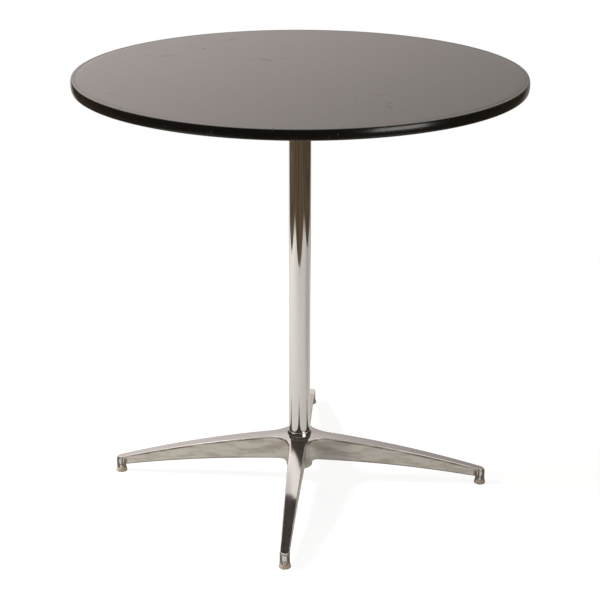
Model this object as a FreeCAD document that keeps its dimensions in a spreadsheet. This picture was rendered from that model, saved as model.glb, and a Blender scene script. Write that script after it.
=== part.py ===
"""Round cocktail table: a laminate top screwed to a chrome column on a cast four-leg base.

Millimetres, +Z up. The origin lies on the floor under the middle of the column, and the
four legs point along +X (right), +Y (rear), -X (left) and -Y (front).
"""
import FreeCAD
import Part
import Sketcher

import math
import os
from types import SimpleNamespace

# Driving dimensions. Heights are above the floor, radii are from the table's axis.
SIZES = {
    # Table top: panel, laminates and edge moulding
    "top_height": 750.0,
    "top_radius": 381.0,
    "core_thickness": 15.9,
    "laminate_thickness": 0.8,
    "moulding_depth": 7.0,
    "moulding_crown": 1.2,
    "moulding_edge_round": 1.6,
    "tongue_depth": 10.0,
    "tongue_thickness": 2.4,
    "tongue_tip_taper": 0.6,
    "groove_clearance": 0.2,
    "panel_clearance": 0.05,
    # Spider: the cast plate that carries the top
    "spider_plate_thickness": 5.0,
    "spider_arm_reach": 118.0,
    "spider_arm_end_radius": 17.0,
    "spider_arm_taper": 2.5,
    "spider_arm_blend": 24.0,
    "spider_boss_wall": 5.85,
    "spider_boss_flare": 4.0,
    "spider_thread_length": 20.0,
    "spider_socket_depth": 20.0,
    "rib_setback": 26.0,
    "rib_thickness": 6.0,
    "rib_boss_depth": 30.0,
    "rib_end_depth": 4.0,
    # Wood screws through the spider's arms
    "screw_setback": 5.0,
    "screw_half_spacing": 8.0,
    "screw_length": 15.0,
    "screw_shank_radius": 2.3,
    "screw_head_radius": 4.5,
    "screw_head_flat": 0.4,
    "screw_tip_length": 3.0,
    "screw_clearance": 0.05,
    "screw_hole_clearance": 0.3,
    # Column: tube, end plugs and threaded studs
    "column_radius": 19.05,
    "column_wall": 1.6,
    "plug_length": 15.0,
    "plug_setback": 1.5,
    "plug_clearance": 0.05,
    "stud_radius": 9.5,
    "stud_chamfer": 1.5,
    "stud_weld_stub": 3.0,
    "upper_stud_end_gap": 3.0,
    "lower_stud_recess": 15.0,
    "thread_clearance": 0.06,
    "socket_clearance": 0.1,
    # Base casting: collar, hub, legs and foot posts
    "collar_height": 8.0,
    "collar_wall": 2.45,
    "collar_round": 0.5,
    "base_socket_depth": 12.5,
    "hub_wall": 4.4,
    "hub_skirt": 3.0,
    "hub_edge_round": 2.5,
    "hub_blend": 14.0,
    "foot_radius": 329.0,
    "leg_end_radius": 7.8,
    "leg_taper": 1.35,
    "leg_blend": 40.0,
    "leg_top_at_hub": 88.5,
    "leg_top_sag": 6.6,
    "leg_bottom_at_hub": 42.0,
    "leg_bottom_sag": 5.3,
    "leg_end_depth": 14.6,
    "flange_thickness": 5.0,
    "flange_edge_round": 1.2,
    "web_inset": 1.4,
    "web_blend": 5.0,
    "web_wall": 3.6,
    "leg_roof": 6.5,
    "hollow_hub_setback": 14.0,
    "hollow_foot_setback": 31.0,
    "post_flare": 0.8,
    "post_shoulder_round": 0.4,
    "post_drop": 4.7,
    "post_roof": 2.7,
    # Levelling glides: nylon pad on a threaded steel stem
    "glide_height": 8.0,
    "glide_radius": 10.3,
    "glide_sole_round": 1.7,
    "glide_crown_inset": 1.1,
    "glide_crown_height": 1.6,
    "glide_floor_thickness": 2.4,
    "glide_gap": 0.3,
    "stem_radius": 4.0,
    "stem_head_radius": 6.2,
    "stem_head_thickness": 2.4,
    "stem_chamfer": 0.8,
    "stem_end_gap": 1.0,
    "swivel_clearance": 0.1,
    # How far a cutting shape runs past the solid that it cuts
    "cut_overrun": 5.0,
}
FEET = ("right", "rear", "left", "front")
SCREW_SIDES = (-1, 1)
FULL_TURN = 360
HALF = 0.5
COUNTERSINK_ANGLE = 90


class Size:
    """A length with its present value and the sheet expression that gives it."""

    def __init__(self, value, text):
        self.value = value
        self.text = text

    @staticmethod
    def of(other):
        """Return other as a Size, so that plain factors can join a sum."""
        return other if isinstance(other, Size) else Size(other, repr(other))

    def __add__(self, other):
        other = Size.of(other)
        return Size(self.value + other.value, f"({self.text} + {other.text})")

    def __sub__(self, other):
        other = Size.of(other)
        return Size(self.value - other.value, f"({self.text} - {other.text})")

    def __mul__(self, other):
        other = Size.of(other)
        return Size(self.value * other.value, f"{self.text} * {other.text}")

    def __truediv__(self, other):
        other = Size.of(other)
        return Size(self.value / other.value, f"({self.text}) / ({other.text})")

    def __neg__(self):
        return self if self is ZERO else Size(-self.value, f"(-1 * {self.text})")

    __rmul__ = __mul__


def sine(angle):
    """Return the sine of an angle in degrees."""
    return Size(math.sin(math.radians(angle.value)), f"sin({angle.text})")


def cosine(angle):
    """Return the cosine of an angle in degrees."""
    return Size(math.cos(math.radians(angle.value)), f"cos({angle.text})")


def root(size):
    """Return the square root of a size."""
    return Size(math.sqrt(size.value), f"sqrt({size.text})")


def bow_radius(width, rise, sag):
    """Return the radius of the arc that spans width and rise and bows by sag."""
    eighth_chord = (width * width + rise * rise) / (8 * sag)
    return eighth_chord + sag * HALF


doc = FreeCAD.newDocument("cocktail_table")
sheet = doc.addObject("Spreadsheet::Sheet", "Sizes")
for row, (size_name, number) in enumerate(SIZES.items(), start=1):
    sheet.set(f"A{row}", size_name)
    sheet.set(f"B{row}", str(number))
    sheet.setAlias(f"B{row}", size_name)
doc.recompute()
S = SimpleNamespace(**{name: Size(number, f"Sizes.{name}") for name, number in SIZES.items()})
ZERO = Size(0, "0")
nodes = []


class Arc:
    """A round stretch of an outline: its radius, and whether it turns left on the way."""

    def __init__(self, radius, turns_left):
        self.radius = radius
        self.turns_left = turns_left

    def geometry(self, start, end):
        """Return the arc of under half a turn between two points."""
        chord = end - start
        middle = (start + end) * HALF
        left = FreeCAD.Vector(-chord.y, chord.x, 0).normalize()
        height = math.sqrt(max(self.radius.value ** 2 - (chord.Length * HALF) ** 2, 0))
        centre = middle + left * (height if self.turns_left else -height)
        first, last = (start, end) if self.turns_left else (end, start)
        circle = Part.Circle(centre, FreeCAD.Vector(0, 0, 1), self.radius.value)
        return Part.ArcOfCircle(circle, angle_of(first - centre), angle_of(last - centre))


def angle_of(vector):
    """Return the direction of a vector in the sketch plane, in radians."""
    return math.atan2(vector.y, vector.x)


def new_body(name):
    """Return an empty body with its own label."""
    body = doc.addObject("PartDesign::Body", name)
    body.Label = name
    return body


def new_sketch(body, name, role, offset=None):
    """Return a sketch on one of the body's origin planes, lifted by offset along its normal."""
    sketch = body.newObject("Sketcher::SketchObject", f"{body.Name}_{name}")
    plane = next(item for item in body.Origin.OriginFeatures if item.Role == role)
    sketch.AttachmentSupport = [(plane, "")]
    sketch.MapMode = "FlatFace"
    if offset is not None:
        sketch.setExpression("AttachmentOffset.Base.z", offset.text)
    return sketch


def pin_point(sketch, geometry, end, x, y):
    """Hold a point of a sketch at x and y, each bound to the sheet."""
    for direction, axis, place in (("DistanceX", -2, x), ("DistanceY", -1, y)):
        if place is ZERO:
            sketch.addConstraint(Sketcher.Constraint("PointOnObject", geometry, end, axis))
            continue
        distance = Sketcher.Constraint(direction, -1, 1, geometry, end, place.value)
        index = sketch.addConstraint(distance)
        sketch.setExpression(f"Constraints[{index}]", place.text)


def bind_radius(sketch, geometry, radius):
    """Hold the radius of an arc or circle of a sketch at a size of the sheet."""
    index = sketch.addConstraint(Sketcher.Constraint("Radius", geometry, radius.value))
    sketch.setExpression(f"Constraints[{index}]", radius.text)


def draw_outline(sketch, corners):
    """Draw a closed outline. Each corner is x, y and the Arc to the next one, or None."""
    ends = []
    for number, (x, y, arc) in enumerate(corners):
        next_x, next_y, _ = corners[(number + 1) % len(corners)]
        start = FreeCAD.Vector(x.value, y.value, 0)
        end = FreeCAD.Vector(next_x.value, next_y.value, 0)
        shape = arc.geometry(start, end) if arc else Part.LineSegment(start, end)
        geometry = sketch.addGeometry(shape)
        ends.append((geometry, 2, 1) if arc and not arc.turns_left else (geometry, 1, 2))
    for number, (geometry, first, last) in enumerate(ends):
        next_geometry, next_first, _ = ends[(number + 1) % len(ends)]
        joined = Sketcher.Constraint("Coincident", geometry, last, next_geometry, next_first)
        sketch.addConstraint(joined)
    for (geometry, first, last), (x, y, arc) in zip(ends, corners):
        pin_point(sketch, geometry, first, x, y)
        if arc:
            bind_radius(sketch, geometry, arc.radius)


def draw_circle(sketch, x, y, radius):
    """Draw a circle about x and y."""
    centre = FreeCAD.Vector(x.value, y.value, 0)
    shape = Part.Circle(centre, FreeCAD.Vector(0, 0, 1), radius.value)
    geometry = sketch.addGeometry(shape)
    pin_point(sketch, geometry, 3, x, y)
    bind_radius(sketch, geometry, radius)


def straight(*points):
    """Return outline corners joined by straight lines."""
    return [(x, y, None) for x, y in points]


def add_feature(body, kind, name, sketch, **settings):
    """Add a sketch-based feature to a body and recompute it."""
    feature = body.newObject(f"PartDesign::{kind}", f"{body.Name}_{name}")
    feature.Profile = sketch
    for key, value in settings.items():
        if isinstance(value, Size):
            feature.setExpression(key, value.text)
        else:
            setattr(feature, key, value)
    doc.recompute()
    return feature


def turned(body, name, corners):
    """Add a solid of revolution about Z, from an outline in radius and height."""
    sketch = new_sketch(body, name, "XZ_Plane")
    draw_outline(sketch, corners)
    axis = (sketch, ["V_Axis"])
    return add_feature(body, "Revolution", f"{name}_turned", sketch,
                       ReferenceAxis=axis, Angle=FULL_TURN)


def trimmed_to(body, name, outlines, circles, reach, height):
    """Cut away all of a body, from the floor to height, that lies outside the outlines."""
    sketch = new_sketch(body, name, "XY_Plane", height)
    draw_circle(sketch, ZERO, ZERO, reach)
    for corners in outlines:
        draw_outline(sketch, corners)
    for x, y, radius in circles:
        draw_circle(sketch, x, y, radius)
    before = body.Shape.Volume
    pocket = add_feature(body, "Pocket", f"{name}_trim", sketch, Length=height)
    assert pocket.Shape.Volume < before, f"{name} cut nothing"
    return pocket


def quarter_turns(x, y):
    """Return the point x, y and its copies turned by one, two and three right angles."""
    return [(x, y), (-y, x), (-x, -y), (y, -x)]


def star_outline(reach, end_radius, taper, blend):
    """Return a four-armed plan: round arm ends, tapered sides and round inner corners."""
    lean, square = sine(taper), cosine(taper)
    side = end_radius + reach * lean
    centre = (blend + side) / (lean + square)
    along, across = reach + end_radius * lean, end_radius * square
    near, far = centre - blend * square, centre - blend * lean
    stops = zip(quarter_turns(along, -across), quarter_turns(along, across),
                quarter_turns(far, near), quarter_turns(near, far))
    corners = []
    for arm_start, arm_end, corner_start, corner_end in stops:
        corners.append((*arm_start, Arc(end_radius, True)))
        corners.append((*arm_end, None))
        corners.append((*corner_start, Arc(blend, False)))
        corners.append((*corner_end, None))
    return corners


def keep_node(item):
    """Add an object to those that are written out, one file for each."""
    nodes.append(item)
    return item


def place_at(item, x, y):
    """Bind an object's place in plan to the sheet."""
    item.setExpression("Placement.Base.x", x.text)
    item.setExpression("Placement.Base.y", y.text)


# Heights that several pieces share, from the top down and then from the floor up
core_top = S.top_height - S.laminate_thickness
core_bottom = core_top - S.core_thickness
top_underside = core_bottom - S.laminate_thickness
tongue_level = core_bottom + S.core_thickness * HALF
spider_bottom = top_underside - S.spider_plate_thickness
column_top = spider_bottom - S.spider_thread_length
collar_top = S.leg_top_at_hub + S.collar_height
column_seat = collar_top - S.base_socket_depth
post_bottom = S.glide_height + S.glide_gap
leg_bottom_at_end = post_bottom + S.post_drop
leg_top_at_end = leg_bottom_at_end + S.leg_end_depth
post_hole_top = leg_top_at_end - S.post_roof
boss_level = S.leg_bottom_at_hub - S.hub_blend
hub_bottom = boss_level - S.hub_skirt

# Radii that several pieces share
panel_radius = S.top_radius - S.moulding_depth
thread_bore = S.stud_radius + S.thread_clearance
socket_radius = S.column_radius + S.socket_clearance
collar_radius = socket_radius + S.collar_wall
hub_radius = socket_radius + S.hub_wall
tube_bore = S.column_radius - S.column_wall
stem_bore = S.stem_radius + S.thread_clearance
feet = quarter_turns(S.foot_radius, ZERO)
screws = [place for side in SCREW_SIDES
          for place in quarter_turns(S.spider_arm_reach - S.screw_setback,
                                     S.screw_half_spacing * side)]
pilot_radius = S.screw_shank_radius + S.screw_clearance
pilot_depth = spider_bottom + S.screw_length + S.groove_clearance - core_bottom


def disc_with_pilots(name, bottom, thickness, radius, hole_depth):
    """Make a panel layer, with the screws' pilot holes in its underside."""
    body = keep_node(new_body(name))
    top = bottom + thickness
    turned(body, "layer", straight((ZERO, bottom), (radius, bottom), (radius, top), (ZERO, top)))
    if hole_depth is not None:
        drill_pilots(body, bottom, hole_depth)
    return body


def drill_pilots(body, bottom, depth):
    """Drill the screws' pilot holes up into a layer from its underside."""
    sketch = new_sketch(body, "pilots", "XY_Plane", bottom)
    for x, y in screws:
        draw_circle(sketch, x, y, pilot_radius)
    before = body.Shape.Volume
    add_feature(body, "Pocket", "pilot_holes", sketch, Length=depth, Reversed=True)
    assert body.Shape.Volume < before, "the pilot holes cut nothing"


def make_top_core():
    """Make the wood panel, with a groove round its edge for the moulding's tongue."""
    body = keep_node(new_body("top_core"))
    edge = panel_radius - S.panel_clearance
    groove_end = edge - S.tongue_depth - S.groove_clearance
    half_groove = S.tongue_thickness * HALF + S.panel_clearance
    turned(body, "panel", straight(
        (ZERO, core_bottom), (edge, core_bottom), (edge, tongue_level - half_groove),
        (groove_end, tongue_level - half_groove), (groove_end, tongue_level + half_groove),
        (edge, tongue_level + half_groove), (edge, core_top), (ZERO, core_top)))
    drill_pilots(body, core_bottom, pilot_depth)


def make_edge_moulding():
    """Make the vinyl edge: a lightly crowned band, round-cornered, with a tapered tongue."""
    body = keep_node(new_body("edge_moulding"))
    half_height = (S.top_height - top_underside) * HALF
    face_radius = bow_radius(ZERO, S.top_height - top_underside, S.moulding_crown)
    face_centre = S.top_radius - face_radius
    to_corner, corner_rise = face_radius - S.moulding_edge_round, half_height - S.moulding_edge_round
    corner_run = root(to_corner * to_corner - corner_rise * corner_rise)
    lip = face_centre + corner_run
    shoulder = face_centre + corner_run * face_radius / to_corner
    shoulder_rise = corner_rise * face_radius / to_corner
    middle = top_underside + half_height
    face, corner = Arc(face_radius, True), Arc(S.moulding_edge_round, True)
    half_tongue = S.tongue_thickness * HALF
    half_tip = half_tongue - S.tongue_tip_taper
    tip = panel_radius - S.tongue_depth
    turned(body, "band", [
        (panel_radius, top_underside, None), (lip, top_underside, corner),
        (shoulder, middle - shoulder_rise, face), (shoulder, middle + shoulder_rise, corner),
        (lip, S.top_height, None), (panel_radius, S.top_height, None),
        (panel_radius, tongue_level + half_tongue, None), (tip, tongue_level + half_tip, None),
        (tip, tongue_level - half_tip, None), (panel_radius, tongue_level - half_tongue, None)])


def make_spider():
    """Make the cast spider: four drilled arms, a ribbed boss and the column's socket."""
    body = keep_node(new_body("top_spider"))
    plate = new_sketch(body, "arms", "XY_Plane", spider_bottom)
    draw_outline(plate, star_outline(S.spider_arm_reach, S.spider_arm_end_radius,
                                     S.spider_arm_taper, S.spider_arm_blend))
    draw_circle(plate, ZERO, ZERO, thread_bore)
    add_feature(body, "Pad", "plate", plate, Length=S.spider_plate_thickness)
    boss_bottom = column_top - S.spider_socket_depth
    boss_radius = socket_radius + S.spider_boss_wall
    flare_radius = boss_radius + S.spider_boss_flare
    turned(body, "boss", straight(
        (thread_bore, top_underside), (thread_bore, column_top), (socket_radius, column_top),
        (socket_radius, boss_bottom), (boss_radius, boss_bottom),
        (flare_radius, spider_bottom), (flare_radius, top_underside)))
    add_ribs(body)
    drill_arms(body)


def add_ribs(body):
    """Add a tapered rib under each arm of the spider."""
    inner = socket_radius + S.spider_boss_wall * HALF
    outer = S.spider_arm_reach - S.rib_setback
    sketch = new_sketch(body, "rib", "XZ_Plane")
    draw_outline(sketch, straight(
        (inner, spider_bottom), (inner, spider_bottom - S.rib_boss_depth),
        (outer, spider_bottom - S.rib_end_depth), (outer, spider_bottom)))
    rib = add_feature(body, "Pad", "first_rib", sketch, Length=S.rib_thickness,
                      SideType="Symmetric")
    pattern = body.newObject("PartDesign::PolarPattern", "ribs")
    pattern.Originals = [rib]
    pattern.Axis = (sketch, ["V_Axis"])
    pattern.Angle = FULL_TURN
    pattern.Occurrences = len(FEET)
    body.Tip = pattern
    doc.recompute()


def drill_arms(body):
    """Drill and countersink the spider's arms from below for the wood screws."""
    sketch = new_sketch(body, "screw_holes", "XY_Plane", spider_bottom)
    hole_radius = S.screw_shank_radius + S.screw_hole_clearance
    for x, y in screws:
        draw_circle(sketch, x, y, hole_radius)
    doc.recompute()
    before = body.Shape.Volume
    hole = add_feature(body, "Hole", "countersinks", sketch)
    hole.Reversed = True
    hole.DepthType = "ThroughAll"
    hole.HoleCutType = "Countersink"
    hole.HoleCutCustomValues = True
    hole.HoleCutCountersinkAngle = COUNTERSINK_ANGLE
    hole.setExpression("Diameter", (2 * hole_radius).text)
    head_room = S.screw_head_radius + S.screw_head_flat + S.screw_hole_clearance
    hole.setExpression("HoleCutDiameter", (2 * head_room).text)
    doc.recompute()
    assert body.Shape.Volume < before, "the screw holes cut nothing"


def make_screws():
    """Make the countersunk wood screws, head down in the spider's arms."""
    group = []
    slope_top = spider_bottom + S.screw_head_flat + S.screw_head_radius - S.screw_shank_radius
    tip = spider_bottom + S.screw_length
    for number, (x, y) in enumerate(screws, start=1):
        body = new_body(f"spider_screw_{number}")
        turned(body, "screw", straight(
            (ZERO, spider_bottom), (S.screw_head_radius, spider_bottom),
            (S.screw_head_radius, spider_bottom + S.screw_head_flat),
            (S.screw_shank_radius, slope_top),
            (S.screw_shank_radius, tip - S.screw_tip_length), (ZERO, tip)))
        place_at(body, x, y)
        group.append(body)
    compound = doc.addObject("Part::Compound", "spider_screws")
    compound.Label = "spider_screws"
    compound.Links = group
    keep_node(compound)


def make_ring(name, inner, outer, bottom, top):
    """Make a plain ring, such as a tube or a bored plug."""
    body = keep_node(new_body(name))
    turned(body, "ring", straight((inner, bottom), (outer, bottom), (outer, top), (inner, top)))


def make_stud(name, bottom, top):
    """Make a threaded stud as a plain rod with chamfered ends."""
    body = keep_node(new_body(name))
    narrow = S.stud_radius - S.stud_chamfer
    turned(body, "rod", straight(
        (ZERO, bottom), (narrow, bottom), (S.stud_radius, bottom + S.stud_chamfer),
        (S.stud_radius, top - S.stud_chamfer), (narrow, top), (ZERO, top)))


def make_column():
    """Make the chrome tube, its two welded plugs and the studs that they hold."""
    make_ring("column_tube", tube_bore, S.column_radius, column_seat, column_top)
    plug_radius = tube_bore - S.plug_clearance
    plug_bore = S.stud_radius + S.plug_clearance
    upper_face = column_top - S.plug_setback
    lower_face = column_seat + S.plug_setback
    upper_back = upper_face - S.plug_length
    lower_back = lower_face + S.plug_length
    make_ring("upper_end_plug", plug_bore, plug_radius, upper_back, upper_face)
    make_ring("lower_end_plug", plug_bore, plug_radius, lower_face, lower_back)
    make_stud("upper_stud", upper_back - S.stud_weld_stub, top_underside - S.upper_stud_end_gap)
    make_stud("lower_stud", hub_bottom + S.lower_stud_recess, lower_back + S.stud_weld_stub)


# The legs' profile in radius and height, shared by flange, web, posts and hollows
post_radius = S.leg_end_radius + S.post_flare
leg_end = S.foot_radius + post_radius
leg_start = socket_radius + S.collar_wall * HALF
top_bow_radius = bow_radius(leg_end - leg_start, S.leg_top_at_hub - leg_top_at_end,
                            S.leg_top_sag)
top_bow = Arc(top_bow_radius, False)
trim_reach = leg_end + S.cut_overrun
trim_height = collar_top + S.cut_overrun


def under_leg_top(depth, lowest):
    """Return the outline of all that lies between a height and a depth below the leg top."""
    return [(leg_start, lowest, None),
            (leg_start, S.leg_top_at_hub - depth, top_bow),
            (leg_end, leg_top_at_end - depth, None),
            (leg_end, lowest, None)]


def make_hub():
    """Make the base's turned core: lower boss, threaded bore, socket and collar."""
    body = new_body("base_hub")
    shoulder = S.leg_top_at_hub - S.flange_thickness * HALF
    edge = Arc(S.hub_edge_round, True)
    rim = Arc(S.collar_round, True)
    turned(body, "core", [
        (thread_bore, hub_bottom, None), (hub_radius - S.hub_edge_round, hub_bottom, edge),
        (hub_radius, hub_bottom + S.hub_edge_round, None), (hub_radius, shoulder, None),
        (collar_radius, shoulder, None), (collar_radius, collar_top - S.collar_round, rim),
        (collar_radius - S.collar_round, collar_top, None), (socket_radius, collar_top, None),
        (socket_radius, column_seat, None), (thread_bore, column_seat, None)])
    return body


def round_upper_rims(body, trimmed, name, radius):
    """Round over the rims of the bowed faces that look upwards."""
    bows = [face for face in trimmed.Shape.Faces
            if isinstance(face.Surface, Part.SurfaceOfRevolution)]
    upper = [face for face in bows
             if face.normalAt(*face.Surface.parameter(face.CenterOfMass)).z > 0]
    around = [edge for face in upper for edge in face.OuterWire.Edges]
    rounding = body.newObject("PartDesign::Fillet", name)
    rounding.Base = (trimmed, [
        f"Edge{number}" for number, edge in enumerate(trimmed.Shape.Edges, start=1)
        if any(edge.isSame(other) for other in around)])
    rounding.setExpression("Radius", radius.text)
    doc.recompute()


def make_flange():
    """Make the legs' polished top flange, with its upper edge rounded over."""
    body = new_body("base_flange")
    turned(body, "bow", [
        (leg_start, S.leg_top_at_hub, top_bow), (leg_end, leg_top_at_end, None),
        (leg_end, leg_top_at_end - S.flange_thickness, Arc(top_bow_radius, True)),
        (leg_start, S.leg_top_at_hub - S.flange_thickness, None)])
    plan = star_outline(S.foot_radius, S.leg_end_radius, S.leg_taper, S.leg_blend)
    pocket = trimmed_to(body, "plan", [plan], [], trim_reach, trim_height)
    round_upper_rims(body, pocket, "flange_rounding", S.flange_edge_round)
    return body


def make_web():
    """Make the legs' side walls as one inset block that meets the round hub."""
    body = new_body("base_web")
    blend_end = hub_radius + S.hub_blend
    bottom_bow = Arc(bow_radius(leg_end - blend_end, S.leg_bottom_at_hub - leg_bottom_at_end,
                                S.leg_bottom_sag), True)
    half_flange = S.flange_thickness * HALF
    turned(body, "bow", [
        (leg_start, S.leg_top_at_hub - half_flange, top_bow),
        (leg_end, leg_top_at_end - half_flange, None), (leg_end, leg_bottom_at_end, bottom_bow),
        (blend_end, S.leg_bottom_at_hub, Arc(S.hub_blend, True)),
        (hub_radius, boss_level, None), (leg_start, boss_level, None)])
    plan = star_outline(S.foot_radius, S.leg_end_radius - S.web_inset, S.leg_taper, S.web_blend)
    trimmed_to(body, "plan", [plan], [], trim_reach, trim_height)
    return body


def make_posts():
    """Make the round posts that carry the glides at the legs' ends."""
    body = new_body("base_posts")
    turned(body, "bow", under_leg_top(S.flange_thickness * HALF, post_bottom))
    circles = [(x, y, post_radius) for x, y in feet]
    pocket = trimmed_to(body, "plan", [], circles, trim_reach, trim_height)
    round_upper_rims(body, pocket, "shoulder_rounding", S.post_shoulder_round)
    return body


def make_hollows():
    """Make the channels under the legs, as the solids that are cut out of the casting."""
    body = new_body("leg_hollows")
    turned(body, "bow", under_leg_top(S.leg_roof, ZERO))
    lean, square = sine(S.leg_taper), cosine(S.leg_taper)
    side = S.leg_end_radius + S.foot_radius * lean - S.web_inset - S.web_wall
    start = hub_radius + S.hub_blend + S.hollow_hub_setback
    end = S.foot_radius - S.hollow_foot_setback
    tip_radius = side - end * lean
    half_start = (side - start * lean) / square
    tip_along, tip_across = end + tip_radius * lean, tip_radius * square
    stops = zip(quarter_turns(start, -half_start), quarter_turns(tip_along, -tip_across),
                quarter_turns(tip_along, tip_across), quarter_turns(start, half_start))
    channels = [[(*first, None), (*second, Arc(tip_radius, True)), (*third, None), (*last, None)]
                for first, second, third, last in stops]
    trimmed_to(body, "plan", channels, [], trim_reach, trim_height)
    return body


def make_post_holes():
    """Make the tapped holes for the glide stems, as the solids that are cut out."""
    body = new_body("post_holes")
    sketch = new_sketch(body, "holes", "XY_Plane", ZERO)
    for x, y in feet:
        draw_circle(sketch, x, y, stem_bore)
    body.AllowCompound = True
    add_feature(body, "Pad", "cores", sketch, Length=post_hole_top)
    return body


def make_base_casting():
    """Join the hub, legs and posts into the casting, and cut its hollows."""
    solid = doc.addObject("Part::MultiFuse", "casting_blank")
    solid.Shapes = [make_hub(), make_flange(), make_web(), make_posts()]
    tools = doc.addObject("Part::Compound", "casting_cores")
    tools.Links = [make_hollows(), make_post_holes()]
    casting = doc.addObject("Part::Cut", "base_casting")
    casting.Label = "base_casting"
    casting.Base = solid
    casting.Tool = tools
    keep_node(casting)
    doc.recompute()


def make_glide(side, x, y):
    """Make one levelling glide: a nylon pad and the steel stem that swivels in it."""
    cavity_radius = S.stem_head_radius + S.swivel_clearance
    cavity_bottom = S.glide_floor_thickness
    head_bottom = cavity_bottom + S.swivel_clearance
    head_top = head_bottom + S.stem_head_thickness
    cavity_top = head_top + S.swivel_clearance
    shank_hole = S.stem_radius + S.swivel_clearance
    pad = keep_node(new_body(f"glide_pad_{side}"))
    sole = Arc(S.glide_sole_round, True)
    turned(pad, "pad", [
        (ZERO, ZERO, None), (S.glide_radius - S.glide_sole_round, ZERO, sole),
        (S.glide_radius, S.glide_sole_round, None),
        (S.glide_radius, S.glide_height - S.glide_crown_height, None),
        (S.glide_radius - S.glide_crown_inset, S.glide_height, None),
        (shank_hole, S.glide_height, None),
        (shank_hole, cavity_top, None), (cavity_radius, cavity_top, None),
        (cavity_radius, cavity_bottom, None), (ZERO, cavity_bottom, None)])
    place_at(pad, x, y)
    stem = keep_node(new_body(f"glide_stem_{side}"))
    stem_top = post_hole_top - S.stem_end_gap
    turned(stem, "stem", straight(
        (ZERO, head_bottom), (S.stem_head_radius, head_bottom), (S.stem_head_radius, head_top),
        (S.stem_radius, head_top), (S.stem_radius, stem_top - S.stem_chamfer),
        (S.stem_radius - S.stem_chamfer, stem_top), (ZERO, stem_top)))
    place_at(stem, x, y)


def check_document():
    """Stop if any object failed to build, or any piece is empty or broken."""
    for item in doc.Objects:
        faults = {"Invalid", "Error"} & set(item.State)
        assert not faults, f"{item.Name} is {item.State}"
    for item in nodes:
        assert not item.Shape.isNull(), f"{item.Label} is empty"
        assert item.Shape.isValid(), f"{item.Label} is not a valid shape"
        assert item.Shape.Solids, f"{item.Label} holds no solid"


disc_with_pilots("top_laminate", core_top, S.laminate_thickness, panel_radius - S.panel_clearance,
                 None)
make_top_core()
disc_with_pilots("backing_laminate", top_underside, S.laminate_thickness,
                 panel_radius - S.panel_clearance, S.laminate_thickness + S.cut_overrun)
make_edge_moulding()
make_spider()
make_screws()
make_column()
make_base_casting()
for foot, (foot_x, foot_y) in zip(FEET, feet):
    make_glide(foot, foot_x, foot_y)
doc.recompute()
check_document()
os.makedirs("parts", exist_ok=True)
for node in nodes:
    node.Shape.exportStep(f"parts/{node.Label}.step")
    box = node.Shape.BoundBox
    print(f"{node.Label}: {len(node.Shape.Solids)} solid, {node.Shape.Volume / 1000:.2f} cm3, "
          f"x {box.XMin:.2f} {box.XMax:.2f}, z {box.ZMin:.2f} {box.ZMax:.2f}")
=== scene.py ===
"""Looks of a round cocktail table.

A black laminate top with a vinyl edge stands on a chromed column and a polished four-leg base.
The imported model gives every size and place. This script adds the fine shapes, the finishes, the
studio and the camera. Lengths are in metres, and a name that ends in _mm is in millimetres.
"""

import logging
import math
from collections.abc import Callable, Iterable, Sequence
from dataclasses import dataclass, field
from enum import Enum
from functools import partial, reduce

import bpy
from mathutils import Matrix, Vector


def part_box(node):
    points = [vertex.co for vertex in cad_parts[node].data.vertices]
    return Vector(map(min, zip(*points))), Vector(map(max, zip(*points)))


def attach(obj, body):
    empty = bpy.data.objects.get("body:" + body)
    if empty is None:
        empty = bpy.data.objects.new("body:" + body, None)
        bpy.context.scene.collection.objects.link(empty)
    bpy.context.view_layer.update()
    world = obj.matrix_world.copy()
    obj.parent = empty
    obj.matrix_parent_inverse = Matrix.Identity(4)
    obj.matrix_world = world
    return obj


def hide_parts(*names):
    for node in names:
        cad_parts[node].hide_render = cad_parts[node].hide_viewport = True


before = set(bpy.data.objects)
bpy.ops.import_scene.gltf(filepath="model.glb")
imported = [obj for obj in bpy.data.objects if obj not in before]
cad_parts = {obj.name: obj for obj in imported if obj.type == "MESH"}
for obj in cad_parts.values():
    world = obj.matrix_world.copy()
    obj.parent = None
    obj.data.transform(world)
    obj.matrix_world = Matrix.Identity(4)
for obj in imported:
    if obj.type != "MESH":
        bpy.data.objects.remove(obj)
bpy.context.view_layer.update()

MM = 0.001
FULL_TURN = 2 * math.pi
SHARP_ANGLE = math.radians(32)
WHITE = (1.0, 1.0, 1.0, 1.0)
# Keeps the level part of a vector
LEVEL = (1, 1, 0)
# Feature size of a pattern that stays the same along an axis
ENDLESS = math.inf
LOG = logging.getLogger("cocktail_table")

# Sockets of the colour mix node, which shares their names among its data types
MIX_A = 6
MIX_B = 7
MIX_RESULT = 2

Colour = tuple[float, float, float, float]
Triple = tuple[float, float, float]
Span = tuple[float, float]
Profile = list[tuple[float, float]]
Socket = bpy.types.NodeSocket
Tree = bpy.types.NodeTree
Value = float | Socket
Tint = str | Colour | Socket


class Side(Enum):
    """The four feet, named as one faces the table."""

    RIGHT = "right"
    REAR = "rear"
    LEFT = "left"
    FRONT = "front"


class Slot(Enum):
    """Material slots of the record."""

    BLACK_LAMINATE = "black_laminate"
    PANEL_CORE = "panel_core"
    BACKING_SHEET = "backing_sheet"
    BLACK_VINYL = "black_vinyl"
    SAND_CAST = "sand_cast_aluminium"
    POLISHED = "polished_aluminium"
    CHROME = "chrome_tube"
    PLAIN_STEEL = "plain_steel"
    ZINC_STEEL = "zinc_steel"
    NYLON = "nylon"


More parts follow.
